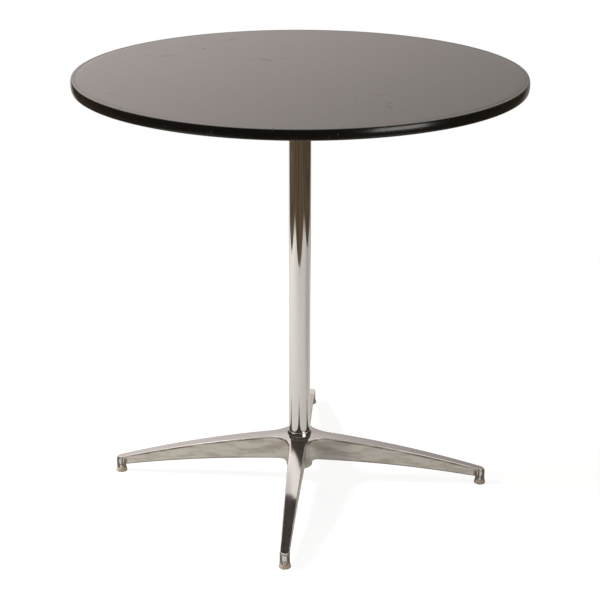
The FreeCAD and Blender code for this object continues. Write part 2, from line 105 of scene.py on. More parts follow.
def linear(hex_colour: str) -> Colour:
    """Turn an sRGB colour into linear light.

    Args:
        hex_colour: Colour as #rrggbb.

    Returns:
        Linear red, green and blue, and an alpha of 1.
    """
    shares = [int(hex_colour[start:start + 2], 16) / 255 for start in (1, 3, 5)]
    red, green, blue = (s / 12.92 if s <= 0.04045 else ((s + 0.055) / 1.055) ** 2.4 for s in shares)
    return red, green, blue, 1.0


def per(size_mm: float) -> float:
    """Return how many pattern features of this size go into a metre."""
    return 1 / (size_mm * MM)


def add_node(tree: Tree, kind: str, inputs: dict | None = None, **settings: object) -> bpy.types.Node:
    """Add a node with its settings, constants and links.

    Args:
        tree: Node tree that gets the node.
        kind: Identifier of the node type.
        inputs: Values by input name or number. An output socket is linked, a colour as #rrggbb
            is turned into linear light, and anything else is set as it is.
        settings: Attributes of the node.

    Returns:
        The new node.
    """
    node = tree.nodes.new(kind)
    for name, value in settings.items():
        setattr(node, name, value)
    for key, value in (inputs or {}).items():
        if isinstance(value, Socket):
            tree.links.new(value, node.inputs[key])
        else:
            node.inputs[key].default_value = linear(value) if isinstance(value, str) else value
    return node


@dataclass(frozen=True)
class Nodes:
    """A node tree, with a method for each kind of node that the materials share."""

    tree: Tree

    def math(self, operation: str, *values: Value, clamp: bool = False) -> Socket:
        """Add a sum of numbers and return its result."""
        return add_node(self.tree, "ShaderNodeMath", dict(enumerate(values)),
                        operation=operation, use_clamp=clamp).outputs[0]

    def vector(self, operation: str, *values: Socket | Triple) -> Socket:
        """Add a sum of vectors and return its result, which is a number for a length."""
        made = add_node(self.tree, "ShaderNodeVectorMath", dict(enumerate(values)), operation=operation)
        return made.outputs["Value" if operation == "LENGTH" else "Vector"]

    def split(self, vector: Socket) -> tuple[Socket, ...]:
        """Return the X, Y and Z of a vector."""
        return tuple(add_node(self.tree, "ShaderNodeSeparateXYZ", {0: vector}).outputs)

    def out(self, place: Socket) -> Socket:
        """Return how far a place lies out from the upright axis."""
        return self.vector("LENGTH", self.vector("MULTIPLY", place, LEVEL))

    def turn(self, place: Socket, angle: float, centre: Triple = (0, 0, 0)) -> Socket:
        """Return a place turned about an upright axis through a centre."""
        return add_node(self.tree, "ShaderNodeVectorRotate", {
            "Vector": place, "Center": centre, "Angle": angle}, rotation_type="Z_AXIS").outputs[0]

    def stretch(self, place: Socket, *sizes_mm: float) -> Socket:
        """Return a place counted in pattern features of these sizes along X, Y and Z."""
        return self.vector("MULTIPLY", place, tuple(per(size) for size in sizes_mm))

    def noise(self, place: Socket, detail: float) -> Socket:
        """Add cloudy noise and return its level."""
        return add_node(self.tree, "ShaderNodeTexNoise", {
            "Vector": place, "Scale": 1.0, "Detail": detail}).outputs["Fac"]

    def bands(self, value: Socket, size_mm: float) -> Socket:
        """Add noise that follows one value in bands and return its level."""
        return add_node(self.tree, "ShaderNodeTexNoise", {"W": value, "Scale": per(size_mm)},
                        noise_dimensions="1D").outputs["Fac"]

    def cells(self, place: Socket, size_mm: float) -> bpy.types.Node:
        """Add a pattern of cells."""
        return add_node(self.tree, "ShaderNodeTexVoronoi", {"Vector": place, "Scale": per(size_mm)})

    def pits(self, place: Socket, size_mm: float, span: Span) -> Socket:
        """Add scattered pits and return where they are."""
        return self.ramp(self.cells(place, size_mm).outputs["Distance"], span)

    def ramp(self, value: Socket, span: Span = (0.0, 1.0), onto: Span = (0.0, 1.0),
             smooth: bool = False) -> Socket:
        """Map a value from one span onto another and keep it within that.

        Args:
            value: The value.
            span: Where it starts and ends.
            onto: What the start and the end become.
            smooth: Whether the ends are eased.

        Returns:
            The mapped value.
        """
        return add_node(self.tree, "ShaderNodeMapRange", {
            "Value": value, "From Min": span[0], "From Max": span[1], "To Min": onto[0],
            "To Max": onto[1]}, interpolation_type="SMOOTHSTEP" if smooth else "LINEAR").outputs[0]

    def most(self, values: Iterable[Socket]) -> Socket:
        """Return the largest of several values."""
        return reduce(partial(self.math, "MAXIMUM"), values)

    def product(self, values: Iterable[Socket]) -> Socket:
        """Return several values multiplied."""
        return reduce(partial(self.math, "MULTIPLY"), values)

    def mix(self, share: Socket, first: Tint, second: Tint) -> Socket:
        """Return a colour between two, with this share of the second."""
        return add_node(self.tree, "ShaderNodeMix", {"Factor": share, MIX_A: first, MIX_B: second},
                        data_type="RGBA").outputs[MIX_RESULT]

    def surface(self, inputs: dict[str, object]) -> Socket:
        """Return a surface shader with these inputs."""
        return add_node(self.tree, "ShaderNodeBsdfPrincipled", inputs).outputs[0]

    def matt(self, tint: Tint) -> Socket:
        """Return a shader that is evenly dull."""
        return add_node(self.tree, "ShaderNodeBsdfDiffuse", {"Color": tint}).outputs[0]

    def shine(self, tint: Tint, strength: Value) -> Socket:
        """Return a shader that gives off light."""
        return add_node(self.tree, "ShaderNodeEmission", {
            "Color": tint, "Strength": strength}).outputs[0]

    def blend(self, share: Value, first: Socket, second: Socket) -> Socket:
        """Return a shader between two, with this share of the second."""
        return add_node(self.tree, "ShaderNodeMixShader", {0: share, 1: first, 2: second}).outputs[0]

    def show(self, shader: Socket, output: str = "ShaderNodeOutputMaterial") -> None:
        """Make a shader the tree's result."""
        add_node(self.tree, output, {"Surface": shader})


def empty_nodes(owner: bpy.types.Material | bpy.types.World) -> Nodes:
    """Return the node tree of a material or world, emptied.

    Args:
        owner: The material or world.

    Returns:
        Its tree without nodes.
    """
    owner.use_nodes = True
    owner.node_tree.nodes.clear()
    return Nodes(owner.node_tree)


@dataclass(frozen=True)
class Pattern:
    """A noise pattern: feature sizes along X, Y and Z, detail, and the span of levels that counts."""

    sizes_mm: Triple
    detail: float = 2.0
    span: Span = (0.0, 1.0)

    def level(self, nodes: Nodes, place: Socket) -> Socket:
        """Add the pattern and return its level."""
        return nodes.noise(nodes.stretch(place, *self.sizes_mm), self.detail)

    def share(self, nodes: Nodes, place: Socket) -> Socket:
        """Add the pattern and return how much of it shows, from 0 to 1."""
        return nodes.ramp(self.level(nodes, place), self.span)


@dataclass(frozen=True)
class Relief:
    """Fine relief: how strongly it shows and how deep it is."""

    strength: float
    depth_mm: float

    def normal(self, nodes: Nodes, height: Socket) -> Socket:
        """Add the relief and return the normal that follows it."""
        return add_node(nodes.tree, "ShaderNodeBump", {
            "Height": height, "Strength": self.strength, "Distance": self.depth_mm * MM}).outputs[0]


@dataclass(frozen=True)
class Finish:
    """A finish: the record's slot, which also names the material, and the shader that shows it."""

    slot: Slot

    def material(self) -> bpy.types.Material:
        """Make the finish's material on first use.

        Returns:
            The material.
        """
        name = self.slot.value + "_finish"
        made = bpy.data.materials.get(name)
        if made is None:
            made = bpy.data.materials.new(name)
            nodes = empty_nodes(made)
            place = add_node(nodes.tree, "ShaderNodeTexCoord").outputs["Object"]
            nodes.show(self.shade(nodes, place))
        return made

    def shade(self, nodes: Nodes, place: Socket) -> Socket:
        """Add the finish's nodes.

        Args:
            nodes: The material's nodes.
            place: Position on the object, in metres.

        Returns:
            The shader's output.
        """
        raise NotImplementedError


@dataclass(frozen=True)
class Scuff:
    """A rubbed mark on the top: its middle, length and width in millimetres, and its turn."""

    x_mm: float
    y_mm: float
    length_mm: float
    width_mm: float
    turn: float
    strength: float


# Rubbed marks on the top, as they lie in the photograph
SCUFFS = (
    Scuff(136, -151, 48, 14, -19, 0.45),
    Scuff(100, -183, 30, 12, -58, 0.39),
    Scuff(116, -203, 26, 14, -32, 0.29),
    Scuff(153, -204, 34, 14, -47, 0.59),
    Scuff(154, -231, 40, 18, -59, 0.59),
    Scuff(171, -257, 18, 12, -50, 0.59),
    Scuff(156, -260, 16, 10, -34, 0.39),
    Scuff(182, -176, 30, 16, -14, 0.26),
    Scuff(49, -124, 60, 9, -48, 0.45),
    Scuff(-277, 123, 44, 12, -49, 0.45),
    Scuff(-241, 120, 64, 16, 29, 0.59),
    Scuff(-210, 191, 26, 14, -4, 0.39),
    Scuff(-185, 184, 30, 10, 88, 0.65),
    Scuff(-151, 268, 80, 14, 47, 0.45),
    Scuff(-91, 101, 30, 14, 0, 0.39),
    Scuff(-65, 98, 54, 16, -35, 0.65),
    Scuff(-38, 113, 34, 14, -1, 0.39),
    Scuff(-23, 67, 60, 12, -59, 0.29),
    Scuff(-286, -173, 26, 10, 50, 0.65),
    Scuff(307, -172, 26, 12, 43, 0.52),
)


@dataclass(frozen=True)
class BlackLaminate(Finish):
    """High-pressure laminate, melamine pressed against a satin plate.

    It is near black from above and a soft mirror at low angles, with a rubbed haze, hair
    scratches and a few scuffs that break the mirror up.
    """

    slot: Slot = Slot.BLACK_LAMINATE
    black: str = "#14110f"
    rubbed: str = "#1f1b18"
    ior: float = 1.5
    roughness: float = 0.07
    hazy_roughness: float = 0.1
    haze: Pattern = Pattern((140.0,) * 3, 3.0, (0.35, 0.65))
    plate_grain: Pattern = Pattern((2.2,) * 3)
    plate_relief: Relief = Relief(0.03, 0.2)
    # Real hair scratches are a tenth as wide: these are drawn coarse enough to show
    scratches: Pattern = Pattern((60.0, 0.9, ENDLESS), 1.0, (0.72, 0.78))
    scratch_turns: tuple[float, ...] = (0.2, 1.1, 2.3)
    scratch_roughness: float = 0.06
    scuffs: tuple[Scuff, ...] = SCUFFS
    scuffed_roughness: float = 0.55
    # Where a scuff fades out towards its edge, as a share of its half size
    scuff_edge: Span = (1.0, 0.2)
    # How often a scuff breaks up along and across its own length
    scuff_strands: Triple = (1.6, 2.6, 0.0)
    strand_detail: float = 3.0
    strand_span: Span = (0.40, 0.56)

    def rub(self, nodes: Nodes, place: Socket, scuff: Scuff) -> Socket:
        """Add one scuff.

        Args:
            nodes: The material's nodes.
            place: Position on the object.
            scuff: The scuff.

        Returns:
            How dulled each point is, from 0 to 1.
        """
        middle = (scuff.x_mm * MM, scuff.y_mm * MM, 0)
        local = nodes.turn(place, -math.radians(scuff.turn), middle)
        local = nodes.vector("SUBTRACT", local, middle)
        local = nodes.stretch(local, scuff.length_mm / 2, scuff.width_mm / 2, ENDLESS)
        mark = nodes.ramp(nodes.vector("LENGTH", local), self.scuff_edge, (0.0, scuff.strength),
                          smooth=True)
        strands = nodes.noise(nodes.vector("MULTIPLY", local, self.scuff_strands), self.strand_detail)
        return nodes.math("MULTIPLY", mark, nodes.ramp(strands, self.strand_span))

    def shade(self, nodes: Nodes, place: Socket) -> Socket:
        """Add the laminate's nodes: haze, scratches and scuffs over a pressed grain.

        Args:
            nodes: The material's nodes.
            place: Position on the object.

        Returns:
            The shader's output.
        """
        worn = nodes.most(self.scratches.share(nodes, nodes.turn(place, turn))
                          for turn in self.scratch_turns)
        dulled = nodes.most(self.rub(nodes, place, scuff) for scuff in self.scuffs)
        rough = nodes.ramp(self.haze.share(nodes, place), onto=(self.roughness, self.hazy_roughness))
        rough = nodes.math("MULTIPLY_ADD", worn, self.scratch_roughness, rough)
        rough = nodes.math("MULTIPLY_ADD", dulled, self.scuffed_roughness, rough)
        return nodes.surface({
            "Base Color": nodes.mix(worn, self.black, self.rubbed), "Roughness": rough, "IOR": self.ior,
            "Normal": self.plate_relief.normal(nodes, self.plate_grain.level(nodes, place))})


@dataclass(frozen=True)
class BlackVinyl(Finish):
    """PVC edge moulding, extruded and glossy.

    It is deep black with one soft streak of light, faint die lines round the rim and dull nicks.
    """

    slot: Slot = Slot.BLACK_VINYL
    black: str = "#0b0a0a"
    nicked: str = "#1d1a18"
    ior: float = 1.53
    roughness: float = 0.2
    nicked_roughness: float = 0.5
    die_line_mm: float = 0.8
    die_relief: Relief = Relief(0.06, 0.1)
    nicks: Pattern = Pattern((9.0,) * 3, 4.0, (0.62, 0.72))

    def shade(self, nodes: Nodes, place: Socket) -> Socket:
        """Add the vinyl's nodes: die lines by height, and scattered nicks.

        Args:
            nodes: The material's nodes.
            place: Position on the object.

        Returns:
            The shader's output.
        """
        die = nodes.bands(nodes.split(place)[2], self.die_line_mm)
        nick = self.nicks.share(nodes, place)
        return nodes.surface({
            "Base Color": nodes.mix(nick, self.black, self.nicked),
            "Roughness": nodes.ramp(nick, onto=(self.roughness, self.nicked_roughness)),
            "IOR": self.ior, "Normal": self.die_relief.normal(nodes, die)})


@dataclass(frozen=True)
class Chrome(Finish):
    """Bright chromium plate on a buffed steel tube.

    It is a near mirror with faint lengthwise draw lines, a light haze and a few brown pits.
    """

    slot: Slot = Slot.CHROME
    plate: str = "#d6d5d3"
    pit: str = "#4a3d33"
    roughness: float = 0.03
    hazy_roughness: float = 0.07
    haze_span: Span = (0.3, 0.7)
    draw_lines: Pattern = Pattern((1.2, 1.2, 160.0))
    draw_relief: Relief = Relief(0.02, 0.1)
    pit_mm: float = 7.0
    pit_span: Span = (0.05, 0.03)

    def shade(self, nodes: Nodes, place: Socket) -> Socket:
        """Add the plate's nodes: draw lines along the tube, haze and pits.

        Args:
            nodes: The material's nodes.
            place: Position on the object.

        Returns:
            The shader's output.
        """
        lines = self.draw_lines.level(nodes, place)
        pits = nodes.pits(place, self.pit_mm, self.pit_span)
        return nodes.surface({
            "Base Color": nodes.mix(pits, self.plate, self.pit), "Metallic": 1.0,
            "Roughness": nodes.ramp(lines, self.haze_span, (self.roughness, self.hazy_roughness)),
            "Normal": self.draw_relief.normal(nodes, lines)})


@dataclass(frozen=True)
class Bow:
    """The arc that one side of a leg follows, by its centre, out and up, and its radius."""

    out_mm: float
    up_mm: float
    radius_mm: float

    def depth(self, nodes: Nodes, place: Socket) -> Socket:
        """Add how far a place lies below the arc.

        Args:
            nodes: The material's nodes.
            place: Position on the object.

        Returns:
            The depth.
        """
        out = nodes.math("SUBTRACT", nodes.out(place), self.out_mm * MM)
        square = nodes.math("SUBTRACT", (self.radius_mm * MM) ** 2, nodes.math("MULTIPLY", out, out))
        height = nodes.math("SUBTRACT", nodes.split(place)[2], self.up_mm * MM)
        return nodes.math("SUBTRACT", nodes.math("SQRT", square), height)


@dataclass(frozen=True)
class LegPlace:
    """Where a point of the casting lies on its leg.

    It is known by its place, how far out along the leg and across from its middle it lies, its
    height, all three of these together, and how far its face looks up.
    """

    place: Socket
    along: Socket
    across: Socket
    height: Socket
    run: Socket
    upward: Socket


@dataclass(frozen=True)
class PolishedAluminium(Finish):
    """Cast aluminium, belt-ground on its sides and buffed bright on top.

    The upper faces mirror softly, the side walls are satin grey, and small casting pits show
    dark. The belt ran along the legs, so its lines smear every reflection across them. Dark lines
    of painted shade run under the lip, along the lower edge and in the corners by the posts, and
    polishing residue darkens the sides of the posts in streaks.
    """

    slot: Slot = Slot.POLISHED
    bright: str = "#cccbca"
    satin: str = "#d2cec8"
    pit: str = "#5d564d"
    bright_roughness: float = 0.085
    satin_roughness: float = 0.32
    # How far a face looks up where the buffed top starts and where it is full
    upward_span: Span = (0.25, 0.6)
    brushing: float = 0.9
    quarter_turn: float = 0.25
    grind_lines: Pattern = Pattern((45.0, 1.1, 1.1), 3.0)
    grind_relief: Relief = Relief(0.05, 0.15)
    stain: str = "#aea497"
    stain_span: Span = (0.45, 0.75)
    stain_share: float = 0.8
    streaks: Pattern = Pattern((34.0, 9.0, 9.0))
    streak_span: Span = (0.3, 0.7)
    streak_roughness: Span = (0.9, 1.12)
    posts_from_mm: float = 319.0
    collar_from_mm: float = 89.0
    # Colour of the polishing residue on the posts and of the painted shade lines
    residue_and_shade_tint: str = "#6e665b"
    rubbing: Pattern = Pattern((4.0, 4.0, 28.0), span=(0.46, 0.58))
    # The arcs of the legs' upper and lower sides, from the hub to the leg's end
    top_bow: Bow = Bow(out_mm=-192.9, up_mm=-1879.4, radius_mm=1979.4)
    bottom_bow: Bow = Bow(out_mm=-18.3, up_mm=-2103.1, radius_mm=2145.8)
    # How far below each bow its line of painted shade starts and ends
    lip_mm: Span = (0.9, 3.4)
    hem_mm: Span = (-2.2, 0.6)
    hem_from_mm: float = 36.0
    hem_full_mm: float = 80.0
    line_fade_mm: float = 0.7
    # How dark the painted shade lines under the lip and along the lower edge are at their middle
    lip_shade: float = 0.9
    hem_shade: float = 0.75
    # The streaks that break the lip's painted shade line up, and how much of it is left where it is
    # broken most
    lip_break_span: Span = (0.35, 0.6)
    lip_break_left: float = 0.25
    # Painted shade in the corner where the leg's wall, set in from its lip, runs into the post
    corner_from_mm: float = 315.0
    corner_to_mm: float = 320.5
    post_from_mm: float = 323.4
    wall_half_mm: float = 7.3
    corner_shade: float = 1.0
    pit_mm: float = 5.0
    pit_span: Span = (0.13, 0.06)

    def find(self, nodes: Nodes, place: Socket) -> LegPlace:
        """Add where a point lies on its leg.

        Args:
            nodes: The material's nodes.
            place: Position on the object.

        Returns:
            The point's place on its leg.
        """
        x, y, height = nodes.split(nodes.vector("ABSOLUTE", place))
        along, across = nodes.math("MAXIMUM", x, y), nodes.math("MINIMUM", x, y)
        run = add_node(nodes.tree, "ShaderNodeCombineXYZ", {"X": along, "Y": across, "Z": height})
        normal = add_node(nodes.tree, "ShaderNodeTexCoord").outputs["Normal"]
        upward = nodes.ramp(nodes.split(normal)[2], self.upward_span, smooth=True)
        return LegPlace(place, along, across, height, run.outputs[0], upward)

    def belt(self, nodes: Nodes, place: Socket) -> Socket:
        """Add the direction in which the grinding belt ran.

        Args:
            nodes: The material's nodes.
            place: Position on the object.

        Returns:
            A level direction that keeps close to the leg's own.
        """
        squared = nodes.vector("MULTIPLY", place, nodes.vector("ABSOLUTE", place))
        return nodes.vector("NORMALIZE", nodes.vector("MULTIPLY", squared, LEVEL))

    def line(self, nodes: Nodes, place: Socket, bow: Bow, span_mm: Span, amount: float) -> Socket:
        """Add a dark line of painted shade along one edge of the legs.

        Args:
            nodes: The material's nodes.
            place: Position on the object.
            bow: The arc that the edge follows.
            span_mm: How far below the bow the line starts and ends.
            amount: How dark the middle of the line is.

        Returns:
            How much painted shade there is, from 0 to 1.
        """
        depth = bow.depth(nodes, place)
        start_mm, end_mm = span_mm
        below = nodes.ramp(depth, (start_mm * MM, (start_mm + self.line_fade_mm) * MM), (0.0, amount))
        above = nodes.ramp(depth, ((end_mm + self.line_fade_mm) * MM, end_mm * MM))
        return nodes.math("MULTIPLY", below, above)

    def corner(self, nodes: Nodes, at: LegPlace) -> Socket:
        """Add the painted shade in the corner between a leg's wall and its post.

        Args:
            nodes: The material's nodes.
            at: The point's place on its leg.

        Returns:
            How much painted shade there is, from 0 to 1.
        """
        near = nodes.ramp(at.along, (self.corner_from_mm * MM, self.corner_to_mm * MM),
                          (0.0, self.corner_shade), smooth=True)
        limits_mm = ((at.along, self.post_from_mm), (at.across, self.wall_half_mm))
        within = [nodes.math("LESS_THAN", value, limit_mm * MM) for value, limit_mm in limits_mm]
        return nodes.product([near, *within])

    def residue_and_painted_shade(self, nodes: Nodes, at: LegPlace, foot: Socket, streak: Socket) -> Socket:
        """Add polishing residue on the posts' sides and lines of painted shade on the side faces.

        Args:
            nodes: The material's nodes.
            at: The point's place on its leg.
            foot: Whether the point lies on a foot post.
            streak: The level of the broad streaks.

        Returns:
            How much residue and painted shade there is, from 0 to 1.
        """
        rubbed = nodes.math("MULTIPLY", self.rubbing.share(nodes, at.run),
                            nodes.math("SUBTRACT", foot, at.upward, clamp=True))
        worn = nodes.ramp(streak, self.lip_break_span, (self.lip_break_left, 1.0))
        leg = nodes.ramp(at.along, (self.hem_from_mm * MM, self.hem_full_mm * MM))
        # The lip, hem and corner lines are painted shade
        lip = self.line(nodes, at.place, self.top_bow, self.lip_mm, self.lip_shade)
        hem = self.line(nodes, at.place, self.bottom_bow, self.hem_mm, self.hem_shade)
        lines = (nodes.math("MULTIPLY", lip, worn), nodes.math("MULTIPLY", hem, leg),
                 self.corner(nodes, at))
        return nodes.most([rubbed, *(nodes.math("SUBTRACT", line, at.upward, clamp=True)
                                     for line in lines)])

    def shade(self, nodes: Nodes, place: Socket) -> Socket:
        """Add the casting's nodes: buffed top, ground sides, grinding lines, residue, painted shade and
        pits.

        Args:
            nodes: The material's nodes.
            place: Position on the object.

        Returns:
            The shader's output.
        """
        at = self.find(nodes, place)
        streak = self.streaks.level(nodes, at.run)
        foot = nodes.math("GREATER_THAN", at.along, self.posts_from_mm * MM)
        collar = nodes.math("GREATER_THAN", at.height, self.collar_from_mm * MM)
        shiny = nodes.most([at.upward, foot, collar])
        pits = nodes.pits(place, self.pit_mm, self.pit_span)
        stained = nodes.ramp(streak, self.stain_span, (0.0, self.stain_share))
        colour = nodes.mix(shiny, nodes.mix(stained, self.satin, self.stain), self.bright)
        # Darken with the posts' residue and the painted shade lines
        colour = nodes.mix(self.residue_and_painted_shade(nodes, at, foot, streak), colour, self.residue_and_shade_tint)
        rough = nodes.math("MULTIPLY",
                           nodes.ramp(shiny, onto=(self.satin_roughness, self.bright_roughness)),
                           nodes.ramp(streak, self.streak_span, self.streak_roughness))
        return nodes.surface({
            "Base Color": nodes.mix(pits, colour, self.pit), "Metallic": 1.0, "Roughness": rough,
            "Anisotropic": self.brushing, "Anisotropic Rotation": self.quarter_turn,
            "Tangent": self.belt(nodes, place),
            "Normal": self.grind_relief.normal(nodes, self.grind_lines.level(nodes, at.run))})


@dataclass(frozen=True)
class SandCastAluminium(Finish):
    """Aluminium as it leaves the sand mould.

    It is dull grey with the grain of the sand on it and slightly darker in patches.
    """

    slot: Slot = Slot.SAND_CAST
    light: str = "#a3a19d"
    dark: str = "#7f7c78"
    # Roughness from the smoothest to the roughest places
    roughness: Span = (0.43, 0.67)
    # Moulding sand is about 0.3 mm: drawn coarser to show
    sand: Pattern = Pattern((0.9,) * 3, 3.0)
    sand_relief: Relief = Relief(0.5, 0.25)
    patches: Pattern = Pattern((18.0,) * 3, 3.0)

    def shade(self, nodes: Nodes, place: Socket) -> Socket:
        """Add the casting's nodes: sand grain and patches.

        Args:
            nodes: The material's nodes.
            place: Position on the object.

        Returns:
            The shader's output.
        """
        sand = self.sand.level(nodes, place)
        return nodes.surface({
            "Base Color": nodes.mix(self.patches.level(nodes, place), self.light, self.dark),
            "Metallic": 1.0, "Roughness": nodes.ramp(sand, onto=self.roughness),
            "Normal": self.sand_relief.normal(nodes, sand)})


@dataclass(frozen=True)
class ZincSteel(Finish):
    """Steel with bright zinc plating.

    It is cool light grey, satin, with straw-coloured patches where the passivation is thick.
    """

    slot: Slot = Slot.ZINC_STEEL
    zinc: str = "#b4b6b8"
    straw: str = "#b8ac8e"
    roughness: Span = (0.22, 0.42)
    patches: Pattern = Pattern((6.0,) * 3, 3.0)
    straw_span: Span = (0.45, 0.75)

    def shade(self, nodes: Nodes, place: Socket) -> Socket:
        """Add the plating's nodes: straw patches and an uneven satin.

        Args:
            nodes: The material's nodes.
            place: Position on the object.

        Returns:
            The shader's output.
        """
        patch = self.patches.level(nodes, place)
        return nodes.surface({
            "Base Color": nodes.mix(nodes.ramp(patch, self.straw_span), self.zinc, self.straw),
            "Metallic": 1.0, "Roughness": nodes.ramp(patch, onto=self.roughness)})


@dataclass(frozen=True)
class TurnedSteel(Finish):
    """Plain steel, turned on a lathe and left bare.

    It is mid grey with fine tool rings and a brownish film of oil.
    """

    slot: Slot = Slot.PLAIN_STEEL
    steel: str = "#8d8b88"
    film: str = "#6f6457"
    roughness: Span = (0.28, 0.50)
    # A turning feed of 0.1 mm is too fine to show, so the rings are drawn wider
    ring_mm: float = 0.6
    ring_relief: Relief = Relief(0.25, 0.1)
    oil: Pattern = Pattern((9.0,) * 3, 3.0)

    def shade(self, nodes: Nodes, place: Socket) -> Socket:
        """Add the steel's nodes: tool rings by height and radius, and the oil film.

        Args:
            nodes: The material's nodes.
            place: Position on the object.

        Returns:
            The shader's output.
        """
        feed = nodes.math("ADD", nodes.out(place), nodes.split(place)[2])
        film = self.oil.level(nodes, place)
        return nodes.surface({
            "Base Color": nodes.mix(film, self.steel, self.film), "Metallic": 1.0,
            "Roughness": nodes.ramp(film, onto=self.roughness),
            "Normal": self.ring_relief.normal(nodes, nodes.bands(feed, self.ring_mm))})


@dataclass(frozen=True)
class Nylon(Finish):
    """Injection-moulded natural nylon, yellowed and walked dirty.

    It is a waxy cream that lets a little light in, with brown dirt rubbed into its lower edge.
    """

    slot: Slot = Slot.NYLON
    cream: str = "#c4b7a4"
    dirt: str = "#6e5d47"
    ior: float = 1.53
    # Roughness from clean to dirty
    roughness: Span = (0.38, 0.68)
    scatter: float = 0.15
    scatter_depth: float = 1.5 * MM
    spots: Pattern = Pattern((3.5,) * 3, 4.0, (0.3, 0.65))
    dirt_height: float = 5.0 * MM
    # Share of dirt at the floor and at that height
    dirt_shares: Span = (0.75, 0.1)

    def shade(self, nodes: Nodes, place: Socket) -> Socket:
        """Add the nylon's nodes: cream that gets dirtier towards the floor.

        Args:
            nodes: The material's nodes.
            place: Position on the object.

        Returns:
            The shader's output.
        """
        low = nodes.ramp(nodes.split(place)[2], (0.0, self.dirt_height), self.dirt_shares)
        dirty = nodes.math("MULTIPLY", low, self.spots.share(nodes, place))
        return nodes.surface({
            "Base Color": nodes.mix(dirty, self.cream, self.dirt),
            "Roughness": nodes.ramp(dirty, onto=self.roughness), "IOR": self.ior,
            "Subsurface Weight": self.scatter, "Subsurface Scale": self.scatter_depth})


@dataclass(frozen=True)
class ParticleBoard(Finish):
    """Particle board: pressed and glued wood chips.

    It is pale brown, made of flat chips of uneven tone.
    """

    slot: Slot = Slot.PANEL_CORE
    pale: str = "#c2a176"
    dark: str = "#8d6b45"
    ior: float = 1.5
    roughness: float = 0.85
    chip_mm: float = 2.5
    chip_relief: Relief = Relief(0.4, 0.3)

    def shade(self, nodes: Nodes, place: Socket) -> Socket:
        """Add the board's nodes: one tone for each chip.

        Args:
            nodes: The material's nodes.
            place: Position on the object.

        Returns:
            The shader's output.
        """
        chips = nodes.cells(place, self.chip_mm).outputs
        tone = add_node(nodes.tree, "ShaderNodeSeparateColor", {0: chips["Color"]}).outputs[0]
        return nodes.surface({
            "Base Color": nodes.mix(tone, self.pale, self.dark), "Roughness": self.roughness,
            "IOR": self.ior, "Normal": self.chip_relief.normal(nodes, chips["Distance"])})


@dataclass(frozen=True)
class BackingSheet(Finish):
    """Phenolic backing sheet, sanded on its face.

    It is dark grey and dull, with fine sanding lines one way and paler rubs.
    """

    slot: Slot = Slot.BACKING_SHEET
    grey: str = "#433f40"
    rubbed: str = "#524d4e"
    ior: float = 1.52
    roughness: Span = (0.48, 0.72)
    # Sanding grit leaves lines of 0.1 mm: drawn wider to show
    sanding: Pattern = Pattern((220.0, 1.2, ENDLESS), 3.0)
    sanding_relief: Relief = Relief(0.15, 0.1)

    def shade(self, nodes: Nodes, place: Socket) -> Socket:
        """Add the sheet's nodes: sanding lines along X.

        Args:
            nodes: The material's nodes.
            place: Position on the object.

        Returns:
            The shader's output.
        """
        lines = self.sanding.level(nodes, place)
        return nodes.surface({
            "Base Color": nodes.mix(lines, self.grey, self.rubbed),
            "Roughness": nodes.ramp(lines, onto=self.roughness), "IOR": self.ior,
            "Normal": self.sanding_relief.normal(nodes, lines)})


def arc(centre: tuple[float, float], radius: float, start: float, end: float, steps: int) -> Profile:
    """Return points on an arc of a profile.

    Args:
        centre: Radius and height of the arc's centre.
        radius: The arc's own radius.
        start: Angle of the first point in degrees, from outward towards up.
        end: Angle of the last point.
        steps: Number of chords.

    Returns:
        The points from start to end.
    """
    angles = [math.radians(start + (end - start) * step / steps) for step in range(steps + 1)]
    return [(centre[0] + radius * math.cos(a), centre[1] + radius * math.sin(a)) for a in angles]


def new_object(name: str, points: list[Triple], faces: list[tuple[int, ...]]) -> bpy.types.Object:
    """Put a smooth mesh into the scene.

    Args:
        name: Name of the object and its mesh.
        points: The mesh's points.
        faces: The mesh's faces.

    Returns:
        The object.
    """
    mesh = bpy.data.meshes.new(name)
    mesh.from_pydata(points, [], faces)
    mesh.shade_smooth()
    made = bpy.data.objects.new(name, mesh)
    bpy.context.scene.collection.objects.link(made)
    return made


